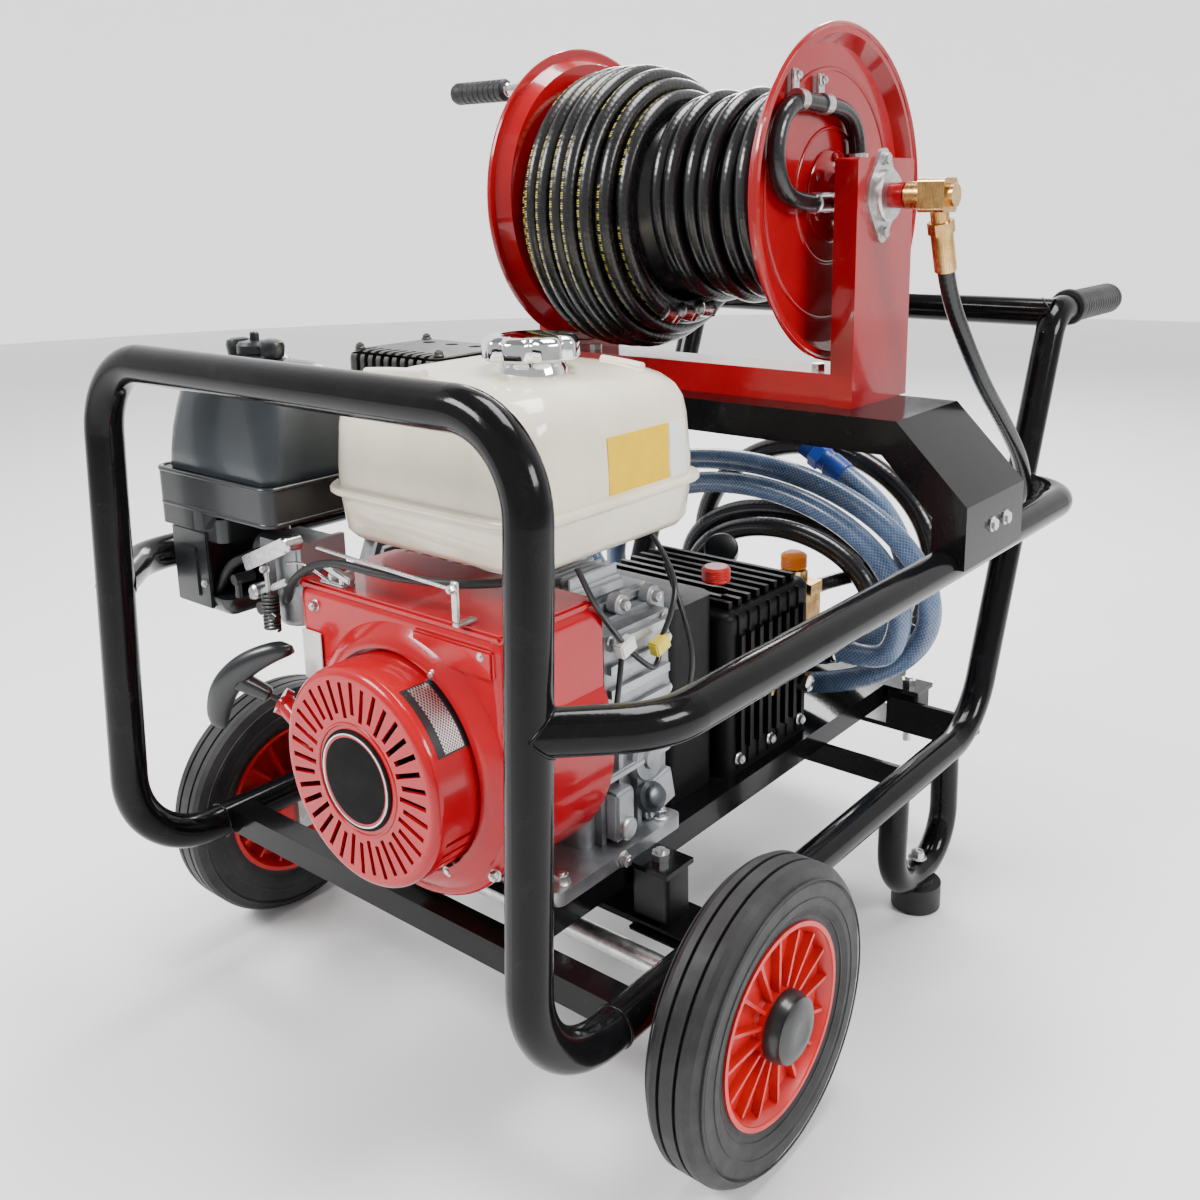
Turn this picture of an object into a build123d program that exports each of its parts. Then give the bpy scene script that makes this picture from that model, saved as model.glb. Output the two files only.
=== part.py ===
from build123d import *

"""Engine-driven water-jetting trolley with a hose reel, in millimetres.

The machine is drawn in its own coordinates: X to the right, Y to the rear, Z up,
X = 0 on the middle plane, Y = 0 at the foot of the front hoop, Z = 0 on the ground.
Every sub-part is then moved by one vector, so that the origin lies on the ground
under the middle of the machine's bounding box.
"""

import os
from math import cos, pi, radians, sin, tan

# ---------------------------------------------------------------- driving dimensions
TUBE_R = 16.85          # 33.7 mm frame tube
TUBE_WALL = 2.6
HALF_WIDTH = 260.0      # side rails and hoop legs, centre line
RAIL_Z = 164.0
HOOP_TOP_Z = 647.0
HOOP_LEAN = 0.047       # rearward run of the hoop per unit of height
HOOP_BEND = 68.0
HOOP_FOOT_BEND = 82.0
RAIL_FRONT_Y = 95.0     # where the hoop ends and the side rails begin
RAIL_REAR_Y = 756.0     # corner between rail and rear upright
HANDLE_Y = 940.0
HANDLE_Z = 636.0
GRIP_START_Y = 985.0
GRIP_END_Y = 1142.0
GRIP_R = 19.5

GUARD_HALF = 325.0      # side guards
GUARD_Z = 437.5
GUARD_CORNER_Y = 842.0

WHEEL_R = 130.0
WHEEL_W = 52.0
WHEEL_X = 316.5
AXLE_Y = 213.0
AXLE_R = 10.0

STAND_Y = 625.0
STAND_HALF = 66.0
FOOT_R = 27.0
FOOT_H = 30.0

BRIDGE_FRONT_Y = 506.0
BRIDGE_REAR_Y = 643.0
BRIDGE_TOP_Z = 571.0
BRIDGE_TOP_HALF = 273.0
BRIDGE_HALF = 347.0
SHOULDER_Z = 498.0
PLATE = 4.0

TRAY_TOP_Z = 198.0
TRAY_HALF = 155.0
TRAY_FRONT_Y = 140.0
TRAY_REAR_Y = 800.0

REEL_Y = 586.0          # reel shaft
REEL_Z = 776.0
DISC_R = 164.5
DISC_X = 165.0
DRUM_R = 52.0
PILE_R = 154.0         # wound hose, left part
PILE_SAG = 12.0
SHAFT_R = 12.5
PILLAR_OUT = 208.0
PILLAR_T = 25.0
PILLAR_TOP = 812.0
CRANK_R = 128.0

CRANK_X = 42.0          # engine crankshaft
CRANK_Z = 326.0
COVER_FRONT_Y = 37.7
COVER_BACK_Y = 92.0
COVER_R = 94.0
SHROUD_R = 126.0
SHROUD_TOP_Z = 454.0
SHROUD_LEFT = -93.0
SHROUD_RIGHT = 157.0

TANK_LEFT = -70.0
TANK_RIGHT = 181.0
TANK_FRONT = 98.0
TANK_REAR = 345.0
TANK_SEAM_Z = 541.0
TANK_TOP_Z = 648.0
TANK_BOTTOM_Z = 495.0
CAP_X = 97.0
CAP_Y = 200.0

HOSE_R = 8.6            # high-pressure hose, 17.2 mm outside
LOW_HOSE_R = 12.5       # supply and bypass hoses, 25 mm outside

# The box of the whole machine without its free hoses.
GRIP_TIP_X = -380.0
HOOP_FRONT_Y = -13.0
HUB_TIP_X = WHEEL_X + 38.0
MID_X = (GRIP_TIP_X + HUB_TIP_X) / 2
MID_Y = (HOOP_FRONT_Y + GRIP_END_Y) / 2

SIDES = (-1, 1)
PARTS = {}


# ---------------------------------------------------------------- helpers
def put(name, *shapes):
    """Store one node: a list of separate solids in machine coordinates."""
    solids = []
    for shape in shapes:
        solids.extend(shape.solids())
    PARTS[name] = solids[0] if len(solids) == 1 else Compound(children=solids)


def block(x0, x1, y0, y1, z0, z1):
    """A box from its six faces."""
    return Pos((x0 + x1) / 2, (y0 + y1) / 2, (z0 + z1) / 2) * Box(x1 - x0, y1 - y0, z1 - z0)


def soft_block(x0, x1, y0, y1, z0, z1, r_side=0.0, r_top=0.0, r_bottom=0.0):
    """A box with rounded upright edges, top rim and bottom rim."""
    body = block(x0, x1, y0, y1, z0, z1)
    if r_side:
        body = fillet(body.edges().filter_by(Axis.Z), r_side)
    if r_top:
        body = fillet(body.faces().sort_by(Axis.Z)[-1].edges(), r_top)
    if r_bottom:
        body = fillet(body.faces().sort_by(Axis.Z)[0].edges(), r_bottom)
    return body


def rod(start, end, r):
    """A round bar between two points."""
    a, b = Vector(*start), Vector(*end)
    run = b - a
    return Plane(origin=a + run * 0.5, z_dir=run.normalized()) * Cylinder(r, run.length)


def disc_x(x0, x1, y, z, r):
    """A cylinder along X."""
    return rod((x0, y, z), (x1, y, z), r)


def disc_y(y0, y1, x, z, r):
    """A cylinder along Y."""
    return rod((x, y0, z), (x, y1, z), r)


def bent_tube(points, radii, r, wall=0.0):
    """A tube along straight runs joined by tangent arcs, hollow when wall is given."""
    path = FilletPolyline(*points, radius=radii)
    start = Plane(origin=path @ 0, z_dir=path % 0)
    tube = sweep(start * Circle(r), path=path)
    if wall:
        tube = tube - sweep(start * Circle(r - wall), path=path)
    return tube


def frame_tube(points, radii):
    """A bent tube of the frame's section: the wall, and the solid it would fill."""
    return bent_tube(points, radii, TUBE_R, TUBE_WALL), bent_tube(points, radii, TUBE_R)


def hose_radii(name, points, diameter):
    """The largest arc for every corner of a hose's route."""
    radii = []
    for before, corner, after in zip(points, points[1:], points[2:]):
        run_in = Vector(*corner) - Vector(*before)
        run_out = Vector(*after) - Vector(*corner)
        half = radians(run_in.get_angle(run_out)) / 2
        radii.append(0.45 * min(run_in.length, run_out.length) / tan(half))
    print(name, "smallest arc in diameters", round(min(radii) / diameter, 1))
    return radii


def hose(name, points, r):
    """A hose along its route."""
    radii = hose_radii(name, points, 2 * r)
    path = FilletPolyline(*points, radius=radii)
    body = sweep(Plane(origin=path @ 0, z_dir=path % 0) * Circle(r), path=path)
    print(name, "length", round(path.length), "volume ratio", round(body.volume / (pi * r * r * path.length), 4))
    return body


def turned(profile, x=0.0, y=0.0, z=0.0, axis=Axis.X):
    """Revolve an (along, radius) outline about an axis through a point."""
    if axis == Axis.X:
        face = make_face(Polyline(*[(a, r, 0) for a, r in profile], close=True))
        return Pos(x, y, z) * revolve(face, axis=Axis.X)
    face = make_face(Polyline(*[(r, a, 0) for a, r in profile], close=True))
    return Pos(x, y, z) * revolve(face, axis=Axis.Y)


def hex_bolt(x, y, z, axis, size=6.5, head=5.0, shank=8.0):
    """A hexagon flange bolt: the head stands out along the axis, the shank the other way."""
    plane = Plane(origin=(x, y, z), z_dir=axis)
    flange = extrude(plane * Circle(size * 1.25), 1.5)
    top = extrude(plane * RegularPolygon(size, 6), head)
    stem = extrude(plane * Circle(size * 0.45), -shank)
    return flange + top + stem


# ---------------------------------------------------------------- frame
def rail_points(side):
    """Bottom rail, rear upright and the tube inside the hand grip."""
    x = side * HALF_WIDTH
    return [
        (x, RAIL_FRONT_Y, RAIL_Z),
        (x, RAIL_REAR_Y, RAIL_Z),
        (x, HANDLE_Y, HANDLE_Z),
        (x, GRIP_END_Y - 8, HANDLE_Z + 2),
    ]


def hoop_y(z):
    """The front hoop's centre line at a height."""
    return HOOP_LEAN * (z - RAIL_Z)


def build_frame():
    w = HALF_WIDTH
    hoop, hoop_full = frame_tube(
        [
            (-w, RAIL_FRONT_Y, RAIL_Z),
            (-w, 0, RAIL_Z),
            (-w, hoop_y(HOOP_TOP_Z), HOOP_TOP_Z),
            (w, hoop_y(HOOP_TOP_Z), HOOP_TOP_Z),
            (w, 0, RAIL_Z),
            (w, RAIL_FRONT_Y, RAIL_Z),
        ],
        [HOOP_FOOT_BEND, HOOP_BEND, HOOP_BEND, HOOP_FOOT_BEND],
    )
    put("front_hoop", hoop)

    rails_full = []
    for side, name in zip(SIDES, ("left", "right")):
        rail, rail_full = frame_tube(rail_points(side), [92, 46])
        rails_full.append(rail_full)
        put("side_rail_" + name, rail)

    guards = []
    for side in SIDES:
        guard, _ = frame_tube(
            [
                (side * w, hoop_y(GUARD_Z), GUARD_Z),
                (side * GUARD_HALF, hoop_y(GUARD_Z) + 62, GUARD_Z),
                (side * GUARD_HALF, GUARD_CORNER_Y, GUARD_Z),
                (side * w, GUARD_CORNER_Y + 14, GUARD_Z),
            ],
            [70, 54],
        )
        guard = guard - hoop_full - rails_full[0 if side < 0 else 1]
        guards.append(guard.solids().sort_by(SortBy.VOLUME)[-1])
    put("side_guards", *guards)

    bar_y = HANDLE_Y + 2
    bar = disc_x(-w, w, bar_y, HANDLE_Z - 2, TUBE_R)
    bar = bar - disc_x(-w - 1, w + 1, bar_y, HANDLE_Z - 2, TUBE_R - TUBE_WALL)
    for rail_full in rails_full:
        bar = bar - rail_full
    put("handle_crossbar", bar.solids().sort_by(SortBy.VOLUME)[-1])

    # Cross members: a square tube ahead of the tray, a flat bar under the front mounts, a plate
    # at the stand, and an angle bar between the rails' rear bends.
    under = RAIL_Z - TUBE_R
    front_y, rear_y = MOUNT_YS
    square = block(-w, w, 101, 126, 152, 177) - block(-w - 1, w + 1, 103, 124, 154, 175)
    strap = block(-w - 12, w + 12, front_y - 25, front_y + 25, under - 6, under)
    plate = block(-w, w, 600, 606, under, TRAY_TOP_Z - 26)
    angle_bar = block(-w, w, rear_y - 27, rear_y + 25, under, under + 6)
    for side in SIDES:
        gusset = sorted((side * (TRAY_HALF + 8), side * w))
        angle_bar = angle_bar + block(*gusset, rear_y - 27, rear_y - 21, under, under + 40)
    members = []
    for member in [square, strap, plate, angle_bar]:
        for rail_full in rails_full:
            member = member - rail_full
        members.append(member.solids().sort_by(SortBy.VOLUME)[-1])
    for x in MOUNT_XS:
        for y in MOUNT_YS:
            members = [member - rod((x, y, 100), (x, y, 190), 5.2) for member in members]
    put("cross_members", *members)

    grips = []
    for side, rail_full in zip(SIDES, rails_full):
        grip = disc_y(GRIP_START_Y, GRIP_END_Y, side * w, HANDLE_Z + 1, GRIP_R)
        collar = disc_y(GRIP_START_Y, GRIP_START_Y + 8, side * w, HANDLE_Z + 1, GRIP_R + 3)
        grip = fillet((grip + collar).edges().sort_by(Axis.Y)[-1], 6)
        grips.append((grip - rail_full).solids().sort_by(SortBy.VOLUME)[-1])
    put("hand_grips", *grips)

    # Stand loops: a U of frame tube under each rail, with a rubber foot at its lowest point.
    loops, feet = [], []
    loop_z = FOOT_H + TUBE_R - 6
    for side, rail_full in zip(SIDES, rails_full):
        x = side * w
        loop = bent_tube(
            [
                (x, STAND_Y - STAND_HALF + 4, RAIL_Z),
                (x, STAND_Y - STAND_HALF, loop_z),
                (x, STAND_Y + STAND_HALF, loop_z),
                (x, STAND_Y + STAND_HALF - 4, RAIL_Z),
            ],
            54,
            TUBE_R - 1.5,
        )
        loops.append((loop - rail_full).solids().sort_by(SortBy.VOLUME)[-1])
        foot = Pos(x, STAND_Y, FOOT_H / 2) * Cylinder(FOOT_R, FOOT_H)
        foot = foot + Pos(x, STAND_Y, FOOT_H + 2) * Cylinder(FOOT_R - 9, 6)
        foot = chamfer(foot.edges().sort_by(Axis.Z)[0], 2)
        feet.append((foot - loop).solids().sort_by(SortBy.VOLUME)[-1])
    put("stand_loops", *loops)
    put("stand_feet", *feet)

    # Axle welded to two hanger plates under the rails.
    axle = disc_x(-WHEEL_X - 33, WHEEL_X + 33, AXLE_Y, WHEEL_R, AXLE_R)
    for side in SIDES:
        hanger = block(side * w - 4, side * w + 4, AXLE_Y - 28, AXLE_Y + 22, WHEEL_R - 16, RAIL_Z)
        axle = axle + (hanger - rails_full[0 if side < 0 else 1])
    put("axle", axle)
    return hoop_full, rails_full


MOUNT_XS = (-178.0, 178.0)
MOUNT_YS = (262.0, 760.0)


def build_tray():
    """Engine and pump tray on four rubber mounts."""
    tray = block(-TRAY_HALF, TRAY_HALF, TRAY_FRONT_Y, TRAY_REAR_Y, TRAY_TOP_Z - 5, TRAY_TOP_Z)
    for side in SIDES:
        for y in MOUNT_YS:
            lug = sorted((side * 150, side * 200))
            tray = tray + block(*lug, y - 20, y + 20, TRAY_TOP_Z - 5, TRAY_TOP_Z)
    for side in SIDES:
        edge = sorted((side * TRAY_HALF, side * (TRAY_HALF - 5)))
        skirt = block(*edge, TRAY_FRONT_Y, TRAY_REAR_Y, TRAY_TOP_Z - 25, TRAY_TOP_Z)
        tray = tray + skirt
    mounts, bolts = [], []
    strap_z = RAIL_Z - TUBE_R
    for x in MOUNT_XS:
        for y, seat in zip(MOUNT_YS, (strap_z, strap_z + 6)):
            pad = block(x - 20, x + 20, y - 18, y + 18, seat, TRAY_TOP_Z - 5)
            mounts.append(fillet(pad.edges().filter_by(Axis.Z), 5) - rod((x, y, 100), (x, y, 210), 5.0))
            tray = tray - rod((x, y, 150), (x, y, 210), 5.2)
            stud = rod((x, y, seat - 28), (x, y, TRAY_TOP_Z + 10), 5.0)
            nut_low = Pos(x, y, seat - 14) * extrude(RegularPolygon(9, 6), 8)
            nut_top = Pos(x, y, TRAY_TOP_Z) * extrude(RegularPolygon(9, 6), 7)
            bolts.append(stud + nut_low + nut_top)
    put("base_tray", tray)
    put("rubber_mounts", *mounts)
    return bolts


# ---------------------------------------------------------------- bridge and reel stand
def bridge_outline(inset):
    """The bridge's arch, inset from its outer face, closed along the inside."""
    def arch(d):
        slope = radians(44.6) / 2
        k = d * tan(slope)
        return [
            (-BRIDGE_HALF + d, GUARD_Z),
            (-BRIDGE_HALF + d, SHOULDER_Z - k),
            (-BRIDGE_TOP_HALF + k, BRIDGE_TOP_Z - d),
            (BRIDGE_TOP_HALF - k, BRIDGE_TOP_Z - d),
            (BRIDGE_HALF - d, SHOULDER_Z - k),
            (BRIDGE_HALF - d, GUARD_Z),
        ]
    return arch(0) + arch(inset)[::-1]


def arch_plate(y0, y1, inset):
    face = make_face(Polyline(*[(x, y0, z) for x, z in bridge_outline(inset)], close=True))
    return extrude(face, amount=y1 - y0, dir=(0, 1, 0))


def build_bridge(rails_full):
    skin = arch_plate(BRIDGE_FRONT_Y, BRIDGE_REAR_Y, PLATE)
    front = arch_plate(BRIDGE_FRONT_Y, BRIDGE_FRONT_Y + PLATE, 34)
    rear = arch_plate(BRIDGE_REAR_Y - PLATE, BRIDGE_REAR_Y, 34)
    bridge = skin + front + rear
    for side in SIDES:
        guard = disc_y(400, 800, side * GUARD_HALF, GUARD_Z, TUBE_R + 0.15)
        bridge = bridge - guard
    bridge = bridge.solids().sort_by(SortBy.VOLUME)[-1]
    bolts = []
    bolt_xs = (-150, 150)
    bolt_ys = (BRIDGE_FRONT_Y + 60, BRIDGE_REAR_Y - 45)
    for x in bolt_xs:
        bridge = bridge - rod((x, REEL_Y - 12, 540), (x, REEL_Y - 12, 590), 4.2)
    for side in SIDES:
        for y in bolt_ys:
            z = SHOULDER_Z - 28
            bridge = bridge - rod((side * 330, y, z), (side * 360, y, z), 3.0)
            bolts.append(hex_bolt(side * BRIDGE_HALF, y, z, (side, 0, 0), 6.0, 5.0, PLATE))
    put("reel_bridge", bridge)

    base = block(-PILLAR_OUT, PILLAR_OUT, 545, 603, BRIDGE_TOP_Z, BRIDGE_TOP_Z + 32)
    stand = base
    for side in SIDES:
        edge = sorted((side * PILLAR_OUT, side * (PILLAR_OUT - PILLAR_T)))
        pillar = block(*edge, 540, 658, BRIDGE_TOP_Z, PILLAR_TOP)
        pillar = fillet(pillar.edges().filter_by(Axis.X).group_by(Axis.Z)[-1], 4)
        stand = stand + pillar
    stand = stand - disc_x(-230, 230, REEL_Y, REEL_Z, 23)
    for x in bolt_xs:
        stand = stand - rod((x, REEL_Y - 12, 565), (x, REEL_Y - 12, 610), 4.2)
        top = BRIDGE_TOP_Z + 32
        bolt = rod((x, REEL_Y - 12, BRIDGE_TOP_Z - 12), (x, REEL_Y - 12, top + 5), 4.0)
        head = Pos(x, REEL_Y - 12, top) * extrude(RegularPolygon(7.5, 6), 5.5)
        nut = Pos(x, REEL_Y - 12, BRIDGE_TOP_Z - PLATE - 7) * extrude(RegularPolygon(7.5, 6), 7)
        bolts.append(bolt + head + nut)
    put("reel_stand", stand)

    # Two-bolt pressed flange bearings on the pillars' outer faces.
    bearings = []
    for side in SIDES:
        x = side * PILLAR_OUT
        plane = Plane(origin=(x, REEL_Y, REEL_Z), x_dir=(0, 0, 1), z_dir=(side, 0, 0))
        lens = make_hull((Circle(31).edges() + (Pos(35, 0) * Circle(10)).edges() + (Pos(-35, 0) * Circle(10)).edges()))
        flange = extrude(plane * lens, 4)
        boss = extrude(plane * Circle(25), 13)
        bearing = flange + chamfer(boss.faces().sort_by(Axis.X)[-1 if side > 0 else 0].edges(), 2)
        bearing = bearing + extrude(plane * Circle(22.9), -14)
        bearing = bearing - extrude(plane * Circle(SHAFT_R + 0.05), 30, both=True)
        for dz in (-35, 35):
            bearing = bearing - rod((x - 20, REEL_Y, REEL_Z + dz), (x + 20, REEL_Y, REEL_Z + dz), 3.2)
            bolts.append(hex_bolt(x + side * 4, REEL_Y, REEL_Z + dz, (side, 0, 0), 5.5, 5.0, 4.0))
        bearings.append(bearing)
    put("reel_bearings", *bearings)
    return bolts


# ---------------------------------------------------------------- hose reel
def build_reel():
    # Dished discs: narrow rim with a rolled edge, short cone, recessed web and the drum's seat.
    dish = 15.0
    web = DISC_X - dish
    for side, name in zip(SIDES, ("left", "right")):
        outline = [
            (web, DRUM_R - 8), (web, 147), (DISC_X, 155), (DISC_X, DISC_R - 2), (DISC_X + 1, DISC_R),
            (DISC_X + 3, DISC_R), (DISC_X + 4.5, DISC_R - 2), (DISC_X + 3, DISC_R - 4.5),
            (DISC_X + 2, DISC_R - 5), (DISC_X + 2, 154), (web + 2, 146), (web + 2, DRUM_R - 8),
        ]
        disc = turned([(side * a, r) for a, r in outline], 0, REEL_Y, REEL_Z)
        put("reel_disc_" + name, disc)

    reach = DISC_X - dish
    drum = disc_x(-reach, reach, REEL_Y, REEL_Z, DRUM_R)
    drum = drum - disc_x(-reach + 4, reach - 4, REEL_Y, REEL_Z, DRUM_R - 3)
    collars = disc_x(-reach - 10, reach + 3, REEL_Y, REEL_Z, DRUM_R - 8.1)
    collars = collars - disc_x(-reach + 4, reach - 4, REEL_Y, REEL_Z, DRUM_R)
    shaft = disc_x(-248, 236, REEL_Y, REEL_Z, SHAFT_R)
    put("reel_drum", drum + collars + shaft)

    # Wound hose: a sagging pile on the left, one low layer of turns on the right.
    edge = reach - 2.2
    pile = turned(
        [(-edge, 30), (-edge, 138), (-edge + 10, 150), (-108, PILE_R), (-62, PILE_R), (-26, 144), (-8, 122), (-8, 30)],
        0, REEL_Y - PILE_SAG / 3, REEL_Z - PILE_SAG,
    )
    layer = turned([(-40, 40), (-40, 108), (edge, 108), (edge, 40)], 0, REEL_Y, REEL_Z)
    winding = pile + layer - disc_x(-180, 180, REEL_Y, REEL_Z, DRUM_R)
    put("wound_hose", winding.solids().sort_by(SortBy.VOLUME)[-1])

    # Crank: flat arm on the left shaft end, pin and turning grip.
    x = -236.0
    arm = block(x - 8, x, REEL_Y - 15, REEL_Y + 15, REEL_Z, REEL_Z + CRANK_R)
    arm = arm + disc_x(x - 8, x, REEL_Y, REEL_Z, 24) + disc_x(x - 8, x, REEL_Y, REEL_Z + CRANK_R, 15)
    arm = arm + disc_x(x - 50, x - 4, REEL_Y, REEL_Z + CRANK_R, 6)
    arm = arm + disc_x(GRIP_TIP_X + 12, x - 40, REEL_Y, REEL_Z + CRANK_R, 5)
    arm = arm - disc_x(x - 20, x + 20, REEL_Y, REEL_Z, SHAFT_R)
    put("crank_arm", arm)
    grip = turned(
        [
            (GRIP_TIP_X, 0), (GRIP_TIP_X, 9), (GRIP_TIP_X + 3, 12.5), (GRIP_TIP_X + 55, 12.5),
            (GRIP_TIP_X + 57, 13.5), (-292, 13.5), (-290, 12), (-290, 0),
        ],
        0, REEL_Y, REEL_Z + CRANK_R,
    )
    grip = grip - disc_x(GRIP_TIP_X + 11, -280, REEL_Y, REEL_Z + CRANK_R, 5.05)
    put("crank_grip", grip)

    put("link_hose", hose("link_hose", LINK_ROUTE, HOSE_R))


LINK_X = 163.0
LINK_FRONT_Y = 466.0
LINK_STEP = 39.0
LINK_DIAG = LINK_STEP * 0.7071
LINK_TOP_Z = 770.0 + LINK_STEP + 2 * LINK_DIAG
LINK_ROUTE = [
    (LINK_X, LINK_FRONT_Y + LINK_DIAG + 56, 770.0),
    (LINK_X, LINK_FRONT_Y + LINK_DIAG, 770.0),
    (LINK_X, LINK_FRONT_Y, 770.0 + LINK_DIAG),
    (LINK_X, LINK_FRONT_Y, LINK_TOP_Z - LINK_DIAG),
    (LINK_X, LINK_FRONT_Y + LINK_DIAG, LINK_TOP_Z),
    (LINK_X, 548.0, LINK_TOP_Z - 1.5),
    (LINK_X, 597.0, LINK_TOP_Z - 5.0),
    (LINK_X, 622.0, LINK_TOP_Z - 30.0),
    (LINK_X, 622.0, LINK_TOP_Z - 62.0),
]


def build_swivel():
    """Right-angle brass swivel, its nut and the crimped ferrule of the delivery hose."""
    body = disc_x(238, 254, REEL_Y, REEL_Z, 13)
    cube = block(254, 281, REEL_Y - 15, REEL_Y + 15, REEL_Z - 16, REEL_Z + 16)
    cube = fillet(cube.edges().filter_by(Axis.X), 4)
    plug = disc_x(281, 287, REEL_Y, REEL_Z, 11)
    centre = Vector(OUTLET_X, REEL_Y, REEL_Z)
    down = Vector(0, OUTLET_LEAN, -1).normalized()
    neck = rod(centre, centre + down * 26, 9)
    nut = Plane(origin=centre + down * 26, z_dir=down) * extrude(RegularPolygon(13, 6), 12)
    ferrule = rod(centre + down * 38, centre + down * (OUTLET_LENGTH + 8), 11)
    ferrule = ferrule - rod(centre + down * OUTLET_LENGTH, centre + down * (OUTLET_LENGTH + 20), HOSE_R + 0.4)
    put("swivel_body", body + cube + plug + neck + nut + ferrule)


OUTLET_X = 268.0
OUTLET_LEAN = 0.36
OUTLET_LENGTH = 68.0
DELIVERY_ROUTE = [
    (OUTLET_X, 609, 712),
    (OUTLET_X, 620, 681.5),
    (276, 645, 634),
    (282, 686, 582),
    (287, 736, 535),
    (289, 786, 487),
    (284, 817, 444),
    (259, 821, 402),
    (221, 808, 371),
    (176, 787, 349),
    (131, 758, 334),
    (99, 720, 326),
    (88, 688, 324),
    (88, 660, 324),
]


# ---------------------------------------------------------------- wheels
def build_wheels():
    half = WHEEL_W / 2
    for side, name in zip(SIDES, ("left", "right")):
        x = side * WHEEL_X
        bead = 20.0
        tyre = turned(
            [
                (-bead, 84), (-bead, 88), (-half, 98), (-half, 116), (-half + 6, WHEEL_R - 3),
                (-half + 11, WHEEL_R), (-9, WHEEL_R), (-9, WHEEL_R - 4), (-6, WHEEL_R - 4),
                (-6, WHEEL_R), (6, WHEEL_R), (6, WHEEL_R - 4), (9, WHEEL_R - 4), (9, WHEEL_R),
                (half - 11, WHEEL_R), (half - 6, WHEEL_R - 3), (half, 116), (half, 98),
                (bead, 88), (bead, 84),
            ],
            x, AXLE_Y, WHEEL_R,
        )
        put("tyre_" + name, tyre)
        rim = turned(
            [
                (-bead - 2, 80), (-bead - 2, 84), (bead + 2, 84), (bead + 2, 80),
                (4, 72), (4, 30), (26, 28), (26, AXLE_R + 0.05), (-26, AXLE_R + 0.05),
                (-26, 28), (-4, 30), (-4, 72),
            ],
            x, AXLE_Y, WHEEL_R,
        )
        ribs = []
        for i in range(16):
            angle = i * 22.5
            rib = block(-18, 18, -1.5, 1.5, 29, 75)
            ribs.append(Pos(x, AXLE_Y, WHEEL_R) * Rot(angle, 0, 0) * rib)
        cap = turned([(0, AXLE_R + 1), (0, 24), (2, 26), (6, 26), (10, 20), (12, 0), (9, 0), (9, AXLE_R + 1)])
        turn = Rot(0, 0 if side > 0 else 180, 0)
        put("rim_" + name, rim + ribs + Pos(x + side * 26, AXLE_Y, WHEEL_R) * turn * cap)


# ---------------------------------------------------------------- engine
def shroud_outline(grow, y0, y1):
    """The fan shroud's outer form: a drum joined to a tall box."""
    drum = disc_y(y0, y1, CRANK_X, CRANK_Z, SHROUD_R + grow)
    box = block(SHROUD_LEFT - grow, SHROUD_RIGHT + grow, y0, y1, CRANK_Z - 20, SHROUD_TOP_Z + grow)
    box = fillet(box.edges().filter_by(Axis.Y).group_by(Axis.Z)[-1], 14 + max(grow, -8))
    return drum + box


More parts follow.
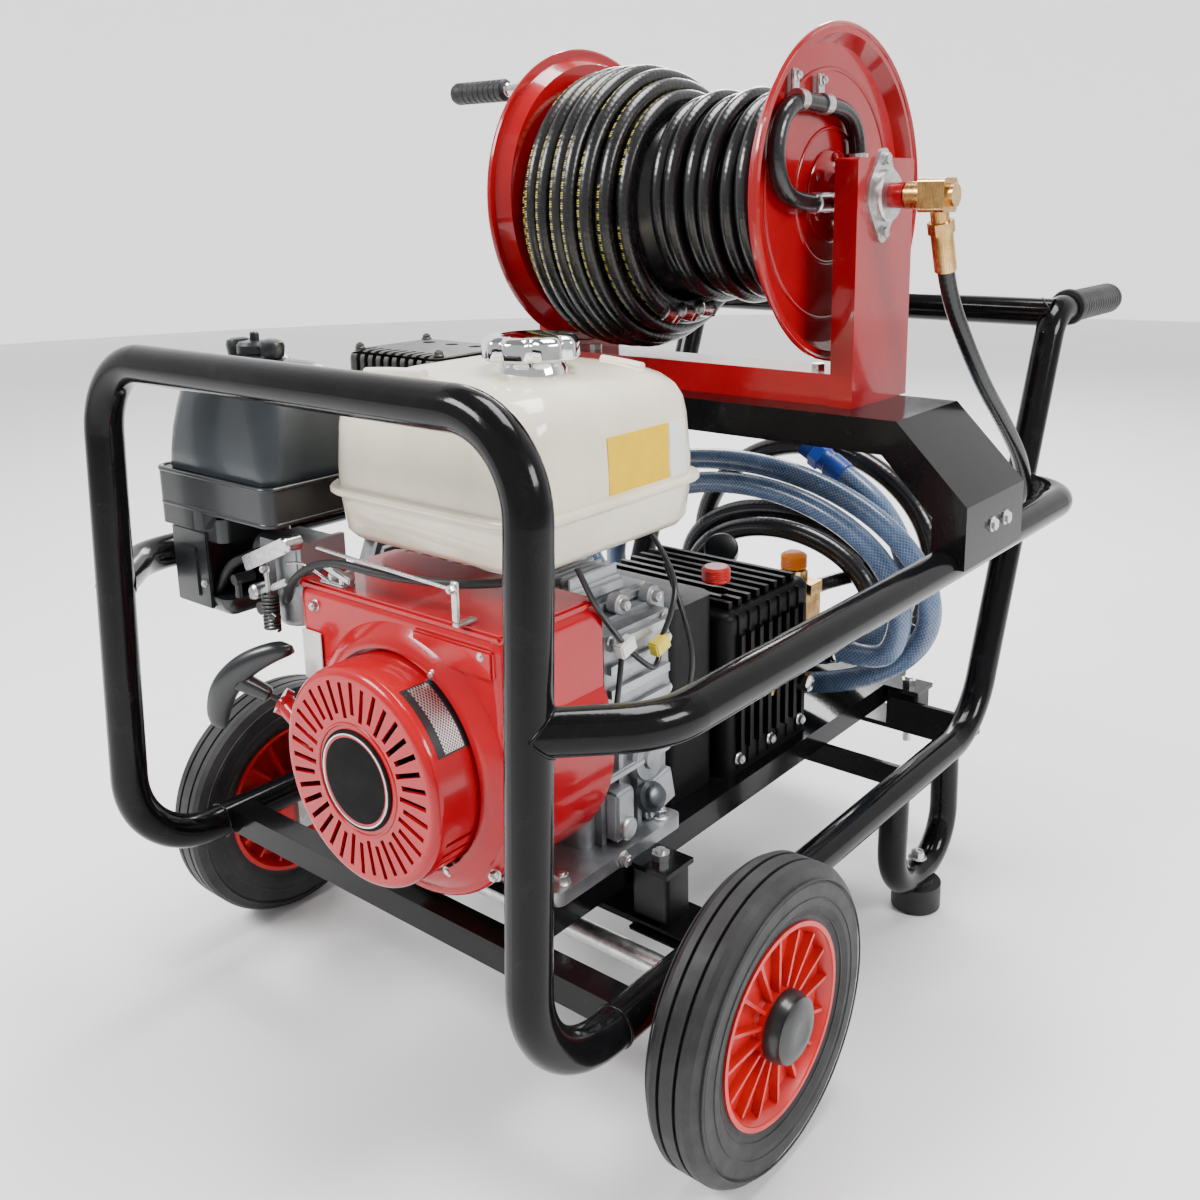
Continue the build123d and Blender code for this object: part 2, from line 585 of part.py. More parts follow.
def build_engine():
    shroud_back = 212.0
    outer = shroud_outline(0, COVER_BACK_Y, shroud_back)
    front_edges = outer.faces().sort_by(Axis.Y)[0].edges()
    outer = fillet(front_edges, 9)
    shroud = outer - shroud_outline(-3, COVER_BACK_Y + 3, shroud_back + 1)
    shroud = shroud - disc_y(60, 110, CRANK_X, CRANK_Z, COVER_R - 8)
    shroud = shroud - disc_y(shroud_back - 20, shroud_back + 5, CRANK_X, CRANK_Z - 90, 20)
    keep_clear = shroud_outline(1.0, COVER_BACK_Y, shroud_back + 1)
    put("fan_shroud", shroud)

    # Recoil cover: slotted dish with slots round its side and three bolt ears.
    cover = disc_y(COVER_FRONT_Y, COVER_BACK_Y, CRANK_X, CRANK_Z, COVER_R)
    cover = fillet(cover.edges().sort_by(Axis.Y)[0], 8)
    cover = cover - disc_y(COVER_FRONT_Y + 3, COVER_BACK_Y + 1, CRANK_X, CRANK_Z, COVER_R - 3)
    ears = []
    for angle in (62, 182, 302):
        px = CRANK_X + (COVER_R + 5) * cos(radians(angle))
        pz = CRANK_Z + (COVER_R + 5) * sin(radians(angle))
        ear = disc_y(COVER_BACK_Y - 4, COVER_BACK_Y, px, pz, 10) - disc_y(80, 100, px, pz, 2.1)
        ears.append(ear - disc_y(50, COVER_BACK_Y, CRANK_X, CRANK_Z, COVER_R - 3))
    cover = cover + ears
    slots = []
    for i in range(36):
        long = i % 2 == 0
        r0, r1 = (52, 82) if long else (56, 84)
        slot = block(r0, r1, COVER_FRONT_Y - 5, COVER_FRONT_Y + 10, -2.2, 2.2)
        slots.append(Pos(CRANK_X, 0, CRANK_Z) * Rot(0, i * 10, 0) * slot)
    for first, count in ((-62, 6), (28, 5), (115, 5), (160, 4)):
        for i in range(count):
            slot = block(COVER_R - 9, COVER_R + 5, COVER_FRONT_Y + 14, COVER_BACK_Y - 12, -2.2, 2.2)
            slots.append(Pos(CRANK_X, 0, CRANK_Z) * Rot(0, -(first + i * 8), 0) * slot)
    cover = cover - slots
    badge = disc_y(COVER_FRONT_Y - 2, COVER_FRONT_Y + 1, CRANK_X, CRANK_Z, 41)
    cover = cover + chamfer(badge.edges().sort_by(Axis.Y)[0], 1)

    bolts = []
    for angle in (62, 182, 302):
        px = CRANK_X + (COVER_R + 5) * cos(radians(angle))
        pz = CRANK_Z + (COVER_R + 5) * sin(radians(angle))
        bolts.append(hex_bolt(px, COVER_BACK_Y - 4, pz, (0, -1, 0), 3.9, 4.0, 3.5))

    # Rotating parts: flywheel with fan vanes, shaft and drive pinion.
    shaft_end = 402.0
    crank = disc_y(76, shaft_end, CRANK_X, CRANK_Z, 12.5)
    crank = crank + disc_y(112, 138, CRANK_X, CRANK_Z, 98)
    for i in range(16):
        vane = block(62, 96, 100, 113, -2, 2)
        crank = crank + Pos(CRANK_X, 0, CRANK_Z) * Rot(0, i * 22.5, 0) * vane
    crank = crank + disc_y(76, 92, CRANK_X, CRANK_Z, 40)
    pinion = gear(PINION_TEETH, GEAR_MODULE, 16)
    crank = crank + Pos(CRANK_X, 372, CRANK_Z) * Rot(90, 0, 0) * pinion
    put("crankshaft", crank)

    pulley = turned(
        [(54, 9), (54, 56), (58, 56), (60, 48), (64, 48), (66, 56), (70, 56), (70, 9)],
        CRANK_X, 0, CRANK_Z, Axis.Y,
    )
    put("recoil_pulley", pulley)
    # The cover's pulley boss, and the lug that guides the rope.
    boss = disc_y(COVER_FRONT_Y + 2, 72, CRANK_X, CRANK_Z, 8.95)
    lug = rod((-46, 70, 318), ROPE_GUIDE, 9)
    eyelet = Plane(origin=ROPE_GUIDE, z_dir=PULL_AXIS) * Cylinder(12, 7)
    bore = Plane(origin=ROPE_GUIDE, z_dir=PULL_AXIS) * Cylinder(3.2, 30)
    put("recoil_cover", cover + boss + (lug + eyelet - bore))

    # Crankcase: block on a wide foot, with ribs on the exposed right side.
    case = soft_block(-52, 130, 213, 340, 206, 420, 10)
    foot = soft_block(-80, 158, 147, 322, TRAY_TOP_Z, TRAY_TOP_Z + 13, 8)
    case = case + foot
    for y in (232, 258, 284, 310):
        case = case + block(120, 137, y - 3, y + 3, 211, 400)
    case = case + block(126, 146, 226, 318, 322, 414)
    for i in range(4):
        z = 334 + 22 * i
        case = case + block(140, 151, 230, 314, z, z + 8)
    case = case - keep_clear
    case = case - disc_y(200, 360, CRANK_X, CRANK_Z, 12.55)
    put("crankcase", case.solids().sort_by(SortBy.VOLUME)[-1])

    # Cylinder and head lean up to the left, with cooling fins.
    tilt = 25.0
    base = Plane(origin=(-52, 262, 362), x_dir=(0, 1, 0), z_dir=(-cos(radians(tilt)), 0, sin(radians(tilt))))
    core = extrude(base * Rectangle(78, 84), 112)
    head = core
    for i in range(9):
        fin = base.offset(14 + i * 11) * Rectangle(112, 116)
        head = head + extrude(fin, 4)
    head = head - case - keep_clear
    head = head - block(-52, 200, 150, 400, 200, 520)
    put("cylinder_head", head.solids().sort_by(SortBy.VOLUME)[-1])
    rocker = extrude(base.offset(112.5) * RectangleRounded(84, 92, 12), 24)
    rocker = fillet(rocker.faces().sort_by(Axis.X)[0].edges(), 6)
    put("rocker_cover", rocker)
    put("carburettor", build_carburettor() - keep_clear)
    return bolts, keep_clear


def build_carburettor():
    body = block(-150, -98, 96, 140, 446, 484)
    bowl = Pos(-124, 118, 424) * Cylinder(21, 42)
    flange = block(-98, -92, 97, 146, 438, 486)
    tube = disc_x(-170, -92, 118, 466, 17)
    return fillet(bowl.edges().sort_by(Axis.Z)[0], 6) + body + flange + tube


def build_tank():
    seam = 6.0
    inset = 7.0
    x0, x1, y0, y1 = TANK_LEFT + inset, TANK_RIGHT - inset, TANK_FRONT + inset, TANK_REAR - inset
    upper = soft_block(x0, x1, y0, y1, TANK_SEAM_Z, TANK_TOP_Z, 30, 26)
    lower = soft_block(x0, x1, y0, y1, TANK_BOTTOM_Z, TANK_SEAM_Z, 30, 0, 16)
    rim = soft_block(
        TANK_LEFT, TANK_RIGHT, TANK_FRONT, TANK_REAR, TANK_SEAM_Z - seam / 2, TANK_SEAM_Z + seam / 2, 34
    )
    tank = upper + lower + rim
    wall = 2.0
    void = soft_block(
        x0 + wall, x1 - wall, y0 + wall, y1 - wall, TANK_BOTTOM_Z + wall, TANK_TOP_Z - wall, 28, 24, 14
    )
    neck = Pos(CAP_X, CAP_Y, TANK_TOP_Z + 1) * Cylinder(27, 6)
    tank = tank + neck - void
    tank = tank - Pos(CAP_X, CAP_Y, TANK_TOP_Z) * Cylinder(23, 20)
    put("fuel_tank", tank)

    cap_z = TANK_TOP_Z + 4.5
    lobes = Pos(CAP_X, CAP_Y, cap_z + 11) * Cylinder(37, 22)
    for i in range(8):
        angle = radians(i * 45 + 22.5)
        cx, cy = CAP_X + 44 * cos(angle), CAP_Y + 44 * sin(angle)
        lobes = lobes - Pos(cx, cy, cap_z + 11) * Cylinder(9, 30)
    cap = fillet(lobes.faces().sort_by(Axis.Z)[-1].edges(), 2)
    plug = Pos(CAP_X, CAP_Y, cap_z - 4) * Cylinder(22.7, 9)
    put("fuel_cap", cap + plug)


def build_air_cleaner(keep_clear):
    x0, x1, y0, y1 = -258, -84, 62, 180
    band = soft_block(x0, x1, y0, y1, 508, 542, 12)
    skirt = soft_block(x0, -190, y0, y1, 490, 520, 12)
    wedge = Polyline((-191, y0 + 4, 490), (-172, y0 + 4, 508), (-191, y0 + 4, 508), close=True)
    band = band + skirt + extrude(make_face(wedge), amount=y1 - y0 - 8, dir=(0, 1, 0))
    elbow = soft_block(-254, -172, 72, 150, 404, 500, 10, 0, 18)
    elbow = elbow - block(-232, -160, 60, 140, 424, 478)
    put("air_cleaner_base", band + elbow - keep_clear)

    cover = soft_block(x0 + 6, x1 - 6, y0 + 5, y1 - 5, 542, 641, 16, 14)
    dome = Pos(-168, 121, 641) * Cylinder(34, 8)
    cover = cover + fillet(dome.edges().sort_by(Axis.Z)[-1], 3)
    put("air_cleaner_cover", cover - Pos(-168, 121, 640) * Cylinder(4.2, 40))
    knob = Pos(-168, 121, 651) * Cylinder(15, 12)
    knob = knob + soft_block(-200, -136, 114, 128, 646, 659, 6, 3)
    knob = knob + Pos(-168, 121, 650) * Cylinder(4, 28)
    put("air_cleaner_knob", knob)


def build_muffler():
    can = soft_block(-206, -90, 268, 362, 505, 604, 24)
    can = fillet(can.faces().sort_by(Axis.Z)[-1].edges(), 12)
    put("muffler", can)
    x0, x1, y0, y1, z0, z1 = -216, -80, 258, 372, 520, 633
    shell = soft_block(x0, x1, y0, y1, z0, z1, 12)
    shell = fillet(shell.faces().sort_by(Axis.Z)[-1].edges(), 10)
    shell = shell - soft_block(x0 + 2, x1 - 2, y0 + 2, y1 - 2, z0 - 1, z1 - 2, 10)
    slots = []
    for i in range(9):
        x = x0 + 20 + i * 12
        slots.append(block(x - 3, x + 3, y0 - 2, y0 + 24, z1 - 26, z1 + 2))
    for i in range(7):
        y = y0 + 20 + i * 12
        slots.append(block(x1 - 6, x1 + 2, y - 3, y + 3, z0 + 40, z1 - 16))
    for i in range(3):
        x = x0 + 34 + i * 34
        slots.append(Pos(x, y1 - 30, z1) * Cylinder(7, 10))
    put("muffler_guard", shell - slots)


def build_controls():
    """Throttle and choke levers and the fuel tap, on short pivots ahead of the carburettor."""
    lever = rod((-84, 90, 492), (-152, 74, 462), 4.5) + rod((-84, 90, 492), (-84, 108, 492), 5)
    put("throttle_lever", lever)
    put("choke_lever", rod((-160, 92, 447), (-160, 72, 447), 5) + rod((-160, 76, 447), (-160, 76, 430), 3))
    put("fuel_tap_lever", rod((-132, 94, 424), (-132, 78, 424), 6) + rod((-132, 82, 424), (-112, 82, 418), 3.5))


def build_starter():
    """Crescent-shaped pull grip beside the recoil cover, and the rope it hangs on."""
    centre = Vector(*STARTER_CENTRE)
    pull = Vector(*PULL_AXIS)
    across = Vector(*GRIP_LINE)
    low = centre - across * 56 - pull * 12
    high = centre + across * 56 - pull * 12
    arc = ThreePointArc(low, centre + pull * 8, high)
    start = Plane(origin=arc @ 0, x_dir=pull.cross(across), z_dir=arc % 0)
    bar = sweep(start * Ellipse(8, 11), path=arc)
    ends = [Pos(*p) * Sphere(8) for p in (low, high)]
    tip = Vector(*ROPE_GUIDE) + pull * 6
    stem = rod(centre + pull * 4, tip + pull * 3, 7.5)
    put("starter_grip", bar + ends + stem)
    put("starter_rope", rod(Vector(*ROPE_GUIDE) - pull * 3, tip + pull * 2.8, 2.5))


PULL_AXIS = (-0.5499, -0.6198, 0.5599)
GRIP_LINE = (0.62, 0.30, 0.725)
STARTER_CENTRE = (-122.0, 46.0, 368.0)
ROPE_GUIDE = (-98.9, 72.0, 344.5)


# ---------------------------------------------------------------- gearbox and pump
PINION_TEETH = 18
WHEEL_TEETH = 36
GEAR_MODULE = 2.0
PUMP_Z = CRANK_Z - GEAR_MODULE * (PINION_TEETH + WHEEL_TEETH) / 2


def gear(teeth, module, width):
    """A straight-toothed gear with trapezoidal teeth, along Z from its lower face."""
    pitch_r = teeth * module / 2
    root_r = pitch_r - 1.25 * module
    tip_r = pitch_r + 0.9 * module
    body = Cylinder(root_r, width, align=(Align.CENTER, Align.CENTER, Align.MIN))
    root_half = 0.30 * pi * module
    tip_half = 0.12 * pi * module
    tooth = make_face(
        Polyline(
            (root_r - 0.4, -root_half), (tip_r, -tip_half), (tip_r, tip_half), (root_r - 0.4, root_half),
            close=True,
        )
    )
    solid_tooth = extrude(tooth, width)
    for i in range(teeth):
        body = body + Rot(0, 0, i * 360 / teeth) * solid_tooth
    return body


def build_pump():
    gearbox = soft_block(-46, 128, 341, 420, TRAY_TOP_Z, 398, 14)
    gearbox = gearbox + disc_y(341, 352, CRANK_X, CRANK_Z, 78)
    hollow = disc_y(352, 406, CRANK_X, CRANK_Z, 30) + disc_y(352, 406, CRANK_X, PUMP_Z, 48)
    gearbox = gearbox - hollow - disc_y(330, 352.5, CRANK_X, CRANK_Z, 12.55)
    gearbox = gearbox - disc_y(405, 425, CRANK_X, PUMP_Z, 12.55)
    put("gearbox", gearbox)

    shaft = disc_y(354, 560, CRANK_X, PUMP_Z, 12.5)
    wheel = gear(WHEEL_TEETH, GEAR_MODULE, 16)
    shaft = shaft + Pos(CRANK_X, 372, PUMP_Z) * Rot(90, 0, 0) * wheel
    for k, y in enumerate((450, 486, 522)):
        angle = radians(120 * k)
        shaft = shaft + disc_y(y, y + 18, CRANK_X + 5 * cos(angle), PUMP_Z + 5 * sin(angle), 19)
    put("pump_shaft", shaft)

    case = soft_block(-58, 142, 421, 585, TRAY_TOP_Z, 374, 16, 10)
    for i in range(8):
        y = 438 + i * 17
        case = case + block(132, 148, y, y + 6, 225, 350)
        case = case + block(-48, 132, y, y + 6, 360, 382)
    case = case - Pos(100, 462, 395) * Cylinder(13.1, 30)
    case = case - disc_y(436, 570, CRANK_X, PUMP_Z, 30) - disc_y(415, 440, CRANK_X, PUMP_Z, 12.55)
    put("pump_body", case)

    head = soft_block(-34, 124, 585, 640, 275, 344, 6)
    for x in (-8, 42, 92):
        for z in (291, 327):
            head = head + Pos(x, 640, z) * Rot(-90, 0, 0) * extrude(RegularPolygon(13, 6), 12)
    x, y, z = DELIVERY_ROUTE[-1]
    head = head - disc_y(600, y + 10, x, z, 10.9) + disc_y(600, y, x, z, 11)
    head = head + disc_x(124, SUPPLY_PORT[0], SUPPLY_PORT[1], SUPPLY_PORT[2], 15)
    head = head + disc_y(640, BYPASS_PORT[1], BYPASS_PORT[0], BYPASS_PORT[2], 14)
    head = head + Pos(100, 616, 355) * Cylinder(16, 24) + block(84, 130, 604, 628, 343, 356)
    put("pump_head", head)
    knob = Pos(100, 616, 377.2) * Cylinder(15, 20)
    put("unloader_knob", chamfer(knob.edges().sort_by(Axis.Z)[-1], 2))
    put("oil_filler_cap", Pos(100, 462, 395) * Cylinder(13, 30))


SUPPLY_PORT = (142.0, 614.0, 284.0)
SUPPLY_LEAD = [
    SUPPLY_PORT,
    (172, 614, 284),
    (202, 615, 284),
    (224, 617, 294),
    (235, 619, 340),
]
SUPPLY_END = (116.8, 683.0, 470.6)
SUPPLY_END_AXIS = (-0.898, 0.035, 0.437)
BYPASS_PORT = (52.0, 656.0, 286.0)
BYPASS_LEAD = [
    BYPASS_PORT,
    (52, 684, 286),
    (28, 702, 262),
    (0, 704, 236),
    (-28, 704, 218),
]
BYPASS_END = (186.2, 776.4, 295.2)
BYPASS_END_AXIS = (-0.242, 0.03, -0.97)


def oval(x, z, rx, top, bottom):
    """An oval with its own height above and below its middle line."""
    upper = Ellipse(rx, top) & Pos(0, 500) * Rectangle(1000, 1000)
    lower = Ellipse(rx, bottom) & Pos(0, -500) * Rectangle(1000, 1000)
    return Pos(x, z) * (upper + lower)


def coil_band(y0, y1, outer, inner):
    """The outer shape of a hand-laid coil: a band between two ovals."""
    plane = Plane(origin=(0, y1, 0), x_dir=(1, 0, 0), z_dir=(0, -1, 0))
    return extrude(plane * (outer - inner), y1 - y0)


def coupling(end, axis):
    """Hose tail and hexagon nut at a hose's free end."""
    end, axis = Vector(*end), Vector(*axis).normalized()
    nut = Plane(origin=end + axis * 36, z_dir=axis) * extrude(RegularPolygon(16, 6), 14)
    return rod(end, end + axis * 36, 14) + nut


def build_hoses():
    delivery = hose("delivery_hose", DELIVERY_ROUTE, HOSE_R)
    put("delivery_hose", delivery)
    delivery_room = hose("delivery_hose", DELIVERY_ROUTE, HOSE_R + 1.5)

    # Supply and bypass hoses: a lead out of the pump head, a hand-laid coil, a coupling at the end.
    supply_end = coupling(SUPPLY_END, SUPPLY_END_AXIS)
    bypass_end = coupling(BYPASS_END, BYPASS_END_AXIS)
    put("hose_couplings", supply_end, bypass_end)
    supply = coil_band(604.5, 688, oval(10, 330, 271, 159, 130.5), oval(30, 333, 192, 109, 108))
    bypass = coil_band(691, 789, oval(28, 345, 183, 146, 145.5), oval(20, 296, 115, 71, 71))
    for name, band, lead in (("supply", supply, SUPPLY_LEAD), ("bypass", bypass, BYPASS_LEAD)):
        band = band - supply_end - bypass_end - delivery_room
        band = band.solids().sort_by(SortBy.VOLUME)[-1]
        put(name + "_hose_coil", band)
        tube = hose(name + "_hose_lead", lead, LOW_HOSE_R) - band
        put(name + "_hose_lead", tube.solids().sort_by(SortBy.VOLUME)[-1])


# ---------------------------------------------------------------- assembly
def main():
    frame_bolts = []
    _, rails_full = build_frame()
    frame_bolts += build_tray()
    frame_bolts += build_bridge(rails_full)
    build_reel()
    build_swivel()
    build_wheels()
    engine_bolts, keep_clear = build_engine()
    build_tank()
    build_air_cleaner(keep_clear)
    build_muffler()
    build_controls()
    build_starter()
    build_pump()
    build_hoses()
    put("bolts", *frame_bolts, *engine_bolts)

    os.makedirs("parts", exist_ok=True)
    shift = Pos(-MID_X, -MID_Y, 0)
    for name, shape in PARTS.items():
        export_step(shift * shape, "parts/" + name + ".step")
    print(len(PARTS), "nodes")


main()
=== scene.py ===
import math
import random

import bmesh
import bpy
import numpy as np
from mathutils import Matrix, Vector


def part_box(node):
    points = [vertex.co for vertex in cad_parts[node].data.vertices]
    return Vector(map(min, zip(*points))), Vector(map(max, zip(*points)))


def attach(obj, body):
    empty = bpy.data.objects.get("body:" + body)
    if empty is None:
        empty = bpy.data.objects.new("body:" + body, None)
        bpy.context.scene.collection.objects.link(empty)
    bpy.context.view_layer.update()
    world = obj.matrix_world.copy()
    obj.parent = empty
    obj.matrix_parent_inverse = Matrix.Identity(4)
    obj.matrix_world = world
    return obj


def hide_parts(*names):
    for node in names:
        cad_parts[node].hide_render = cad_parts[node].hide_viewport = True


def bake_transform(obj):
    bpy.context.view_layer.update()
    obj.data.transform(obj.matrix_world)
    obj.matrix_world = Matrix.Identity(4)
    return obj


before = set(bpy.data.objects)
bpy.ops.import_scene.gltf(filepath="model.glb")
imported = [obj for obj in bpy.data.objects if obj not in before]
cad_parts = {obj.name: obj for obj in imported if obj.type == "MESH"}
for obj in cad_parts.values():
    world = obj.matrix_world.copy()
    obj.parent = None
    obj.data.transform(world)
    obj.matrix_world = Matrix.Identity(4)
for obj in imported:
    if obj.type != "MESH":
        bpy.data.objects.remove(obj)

# The machine's own coordinates, in millimetres: X right, Y to the rear, Z up, X = 0 on the
# middle plane, Y = 0 at the foot of the front hoop. at() turns them into the frame's metres.
AXLE_Y = 213.0
RAIL_Z = 164.0
REEL = (0.0, 586.0, 776.0)
CRANK = (42.0, 0.0, 326.0)
RIGHT, LEFT, REAR, FRONT, UP = (1, 0, 0), (-1, 0, 0), (0, 1, 0), (0, -1, 0), (0, 0, 1)
WHEEL_X = 316.5
WHEEL_R = 130.0
HOSE_R = 8.6
LOW_HOSE_R = 12.5

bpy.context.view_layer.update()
HOOP_LOW, HOOP_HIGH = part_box("front_hoop")
TYRE_LOW, TYRE_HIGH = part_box("tyre_right")
SHIFT = Vector(((HOOP_LOW[0] + HOOP_HIGH[0]) / 2, (TYRE_LOW[1] + TYRE_HIGH[1]) / 2 - AXLE_Y / 1000, 0))
random.seed(7)


def at(x, y, z):
    """A machine point in the frame, in metres."""
    return SHIFT + Vector((x, y, z)) / 1000


def around(steps, closed=False):
    """Cosine and sine at even steps round a full turn."""
    angles = [2 * math.pi * k / steps for k in range(steps + closed)]
    return [(math.cos(a), math.sin(a)) for a in angles]


def new_object(name, data):
    thing = bpy.data.objects.new(name, data)
    bpy.context.scene.collection.objects.link(thing)
    return thing


# ---- camera
def make_camera():
    azimuth, elevation, roll = (math.radians(a) for a in (38.816, 13.556, -0.878))
    camera = new_object("camera", bpy.data.cameras.new("camera"))
    turn = Matrix.Rotation(azimuth, 4, "Z") @ Matrix.Rotation(math.pi / 2 - elevation, 4, "X")
    turn = turn @ Matrix.Rotation(roll, 4, "Z")
    camera.matrix_world = Matrix.Translation(at(777.7, -521.9, 784.9)) @ turn
    camera.data.sensor_width = 36.0
    camera.data.lens = 36.47
    camera.data.shift_x = -0.0236
    camera.data.shift_y = -0.0973
    camera.data.clip_start = 0.02
    bpy.context.scene.camera = camera


# ---- materials
def rgba(value):
    """A colour socket's value from a grey level or an RGB triple."""
    return (value, value, value, 1) if isinstance(value, (int, float)) else (*value, 1)


class Shader:
    """A node material under construction; every method returns an output socket."""

    def __init__(self, name):
        self.material = bpy.data.materials.new(name)
        self.material.use_nodes = True
        self.nodes = self.material.node_tree.nodes
        self.links = self.material.node_tree.links
        self.surface = self.nodes["Principled BSDF"]
        self.place = self.add("TexCoord").outputs["Object"]

    def feed(self, socket, value):
        """Link a socket to an input, or write a plain value into it."""
        if isinstance(value, bpy.types.NodeSocket):
            self.links.new(value, socket)
        elif socket.type == "RGBA":
            socket.default_value = rgba(value)
        else:
            socket.default_value = value

    def add(self, kind, **inputs):
        node = self.nodes.new("ShaderNode" + kind)
        for key, value in inputs.items():
            self.feed(node.inputs[key.replace("_", " ")], value)
        return node

    def set(self, **values):
        for key, value in values.items():
            self.feed(self.surface.inputs[key.replace("_", " ")], value)

    def noise(self, scale, detail=3.0, stretch=None):
        place = self.add("Mapping", Scale=stretch, Vector=self.place).outputs[0] if stretch else self.place
        return self.add("TexNoise", Scale=scale, Detail=detail, Roughness=0.55, Vector=place).outputs["Fac"]

    def cells(self, scale):
        return self.add("TexVoronoi", Scale=scale, Vector=self.place).outputs["Color"]

    def math(self, operation, a, b=0.0):
        node = self.add("Math")
        node.operation = operation
        self.feed(node.inputs[0], a)
        self.feed(node.inputs[1], b)
        return node.outputs[0]

    def product(self, *factors):
        total = factors[0]
        for factor in factors[1:]:
            total = self.math("MULTIPLY", total, factor)
        return total

    def wave(self, value, scale):
        return self.math("SINE", self.product(value, scale))

    def weave(self, one, two):
        """Two crossing families of threads: 1 on a thread's middle."""
        lines = [self.math("ABSOLUTE", self.math("SINE", self.math(way, one, two))) for way in ("ADD", "SUBTRACT")]
        return self.math("MAXIMUM", *lines)

    def ramp(self, source, low, high, start=0.3, end=0.7):
        node = self.add("ValToRGB", Fac=source)
        stops = node.color_ramp.elements
        stops[0].position, stops[1].position = start, end
        stops[0].color, stops[1].color = rgba(low), rgba(high)
        return node.outputs["Color"]

    def range(self, source, low, high):
        return self.add("MapRange", To_Min=low, To_Max=high, Value=source).outputs["Result"]

    def mix(self, factor, a, b):
        node = self.add("Mix")
        node.data_type = "RGBA"
        for key, kind, value in (("Factor", "VALUE", factor), ("A", "RGBA", a), ("B", "RGBA", b)):
            self.feed(next(s for s in node.inputs if s.name == key and s.type == kind), value)
        return next(s for s in node.outputs if s.type == "RGBA")

    def uv(self):
        return self.add("SeparateXYZ", Vector=self.add("TexCoord").outputs["UV"]).outputs[:2]

    def xyz(self):
        return self.add("SeparateXYZ", Vector=self.place).outputs

    def edges(self):
        """0 on flats, 1 on convex edges."""
        return self.ramp(self.add("NewGeometry").outputs["Pointiness"], 0, 1, 0.52, 0.62)

    def bump(self, *layers):
        """Layers of (height socket, strength, depth in metres)."""
        below = {}
        for height, strength, depth in layers:
            node = self.add("Bump", Strength=strength, Distance=depth, Height=height, **below)
            below = {"Normal": node.outputs["Normal"]}
        self.set(**below)


def tint(color, factor):
    return tuple(min(1.0, c * factor) for c in color)


def painted(name, color, rough=0.16, coat=0.6, peel=0.25, chip=(0.25, 0.25, 0.26), sheen=0.2):
    """Gloss paint or powder coat: orange peel, faint colour drift, dust and worn edges."""
    s = Shader(name)
    drift = s.ramp(s.noise(9, 4), tint(color, 0.86), tint(color, 1.10))
    wear = s.product(s.edges(), s.ramp(s.noise(160, 5), 0, 0.30, 0.62, 0.80))
    dust = s.ramp(s.noise(35, 6), 0, 0.025, 0.55, 0.85)
    base = s.mix(wear, drift, chip)
    s.set(Base_Color=s.mix(dust, base, (0.30, 0.29, 0.28)))
    s.set(Roughness=s.range(s.noise(22, 5), rough * 0.75, rough * 1.5))
    s.set(Coat_Weight=coat, Coat_Roughness=0.06, Specular_IOR_Level=sheen)
    s.bump((s.noise(420, 2), peel, 0.0004), (s.noise(60, 2), peel * 0.5, 0.0008))
    return s.material


def cast(name, color, rough=0.5, metallic=1.0, grain=0.35, sheen=0.5):
    """Sand or die casting: fine grain, darker stains, brighter edges."""
    s = Shader(name)
    stains = s.ramp(s.noise(26, 7), tint(color, 0.62), tint(color, 1.12), 0.32, 0.66)
    s.set(Base_Color=s.mix(s.edges(), stains, tint(color, 1.35)))
    s.set(Metallic=metallic, Roughness=s.range(s.noise(70, 5), rough * 0.8, rough * 1.3), Specular_IOR_Level=sheen)
    s.bump((s.noise(1500, 2), grain, 0.0003), (s.noise(180, 4), grain * 0.7, 0.0006))
    return s.material


def zinc(name, color=(0.60, 0.61, 0.60), rough=0.30):
    """Zinc plate: faint spangle and scuffs."""
    s = Shader(name)
    spangle = s.ramp(s.cells(260), tint(color, 0.85), tint(color, 1.1), 0.2, 0.8)
    s.set(Base_Color=s.mix(s.ramp(s.noise(50, 6), 0, 0.6, 0.5, 0.8), spangle, tint(color, 0.6)))
    s.set(Metallic=1.0, Roughness=s.range(s.noise(120, 5), rough * 0.7, rough * 1.5))
    s.bump((s.noise(700, 3), 0.2, 0.0002))
    return s.material


def chrome():
    s = Shader("chrome")
    smear = s.noise(40, 5)
    s.set(Base_Color=s.ramp(smear, (0.72, 0.73, 0.75), (0.86, 0.86, 0.87)))
    s.set(Metallic=1.0, Roughness=s.range(smear, 0.03, 0.11))
    s.bump((s.noise(90, 2), 0.06, 0.0004))
    return s.material


def brass():
    """Machined brass with fine turning lines and darker handling marks."""
    s = Shader("brass")
    lines = s.noise(900, 2, stretch=(1.0, 0.08, 0.08))
    tone = s.ramp(s.noise(45, 5), (0.33, 0.17, 0.05), (0.70, 0.44, 0.17))
    s.set(Base_Color=s.mix(s.edges(), tone, (0.85, 0.62, 0.32)), Metallic=1.0)
    s.set(Roughness=s.range(lines, 0.18, 0.36))
    s.bump((lines, 0.25, 0.0002), (s.noise(60, 3), 0.15, 0.0005))
    return s.material


def plastic(name, color, rough=0.35, grain=900, depth=0.25, coat=0.0, sheen=0.5):
    """Moulded plastic with a spark-eroded grain and slight scuffing."""
    s = Shader(name)
    tone = s.ramp(s.noise(18, 5), tint(color, 0.8), tint(color, 1.25))
    s.set(Base_Color=s.mix(s.product(s.edges(), 0.25), tone, tint(color, 3.0)))
    s.set(Roughness=s.range(s.noise(45, 5), rough * 0.8, rough * 1.25), Coat_Weight=coat, Coat_Roughness=0.1)
    s.set(Specular_IOR_Level=sheen)
    s.bump((s.noise(grain, 2), depth, 0.0002), (s.noise(50, 3), 0.1, 0.0006))
    return s.material


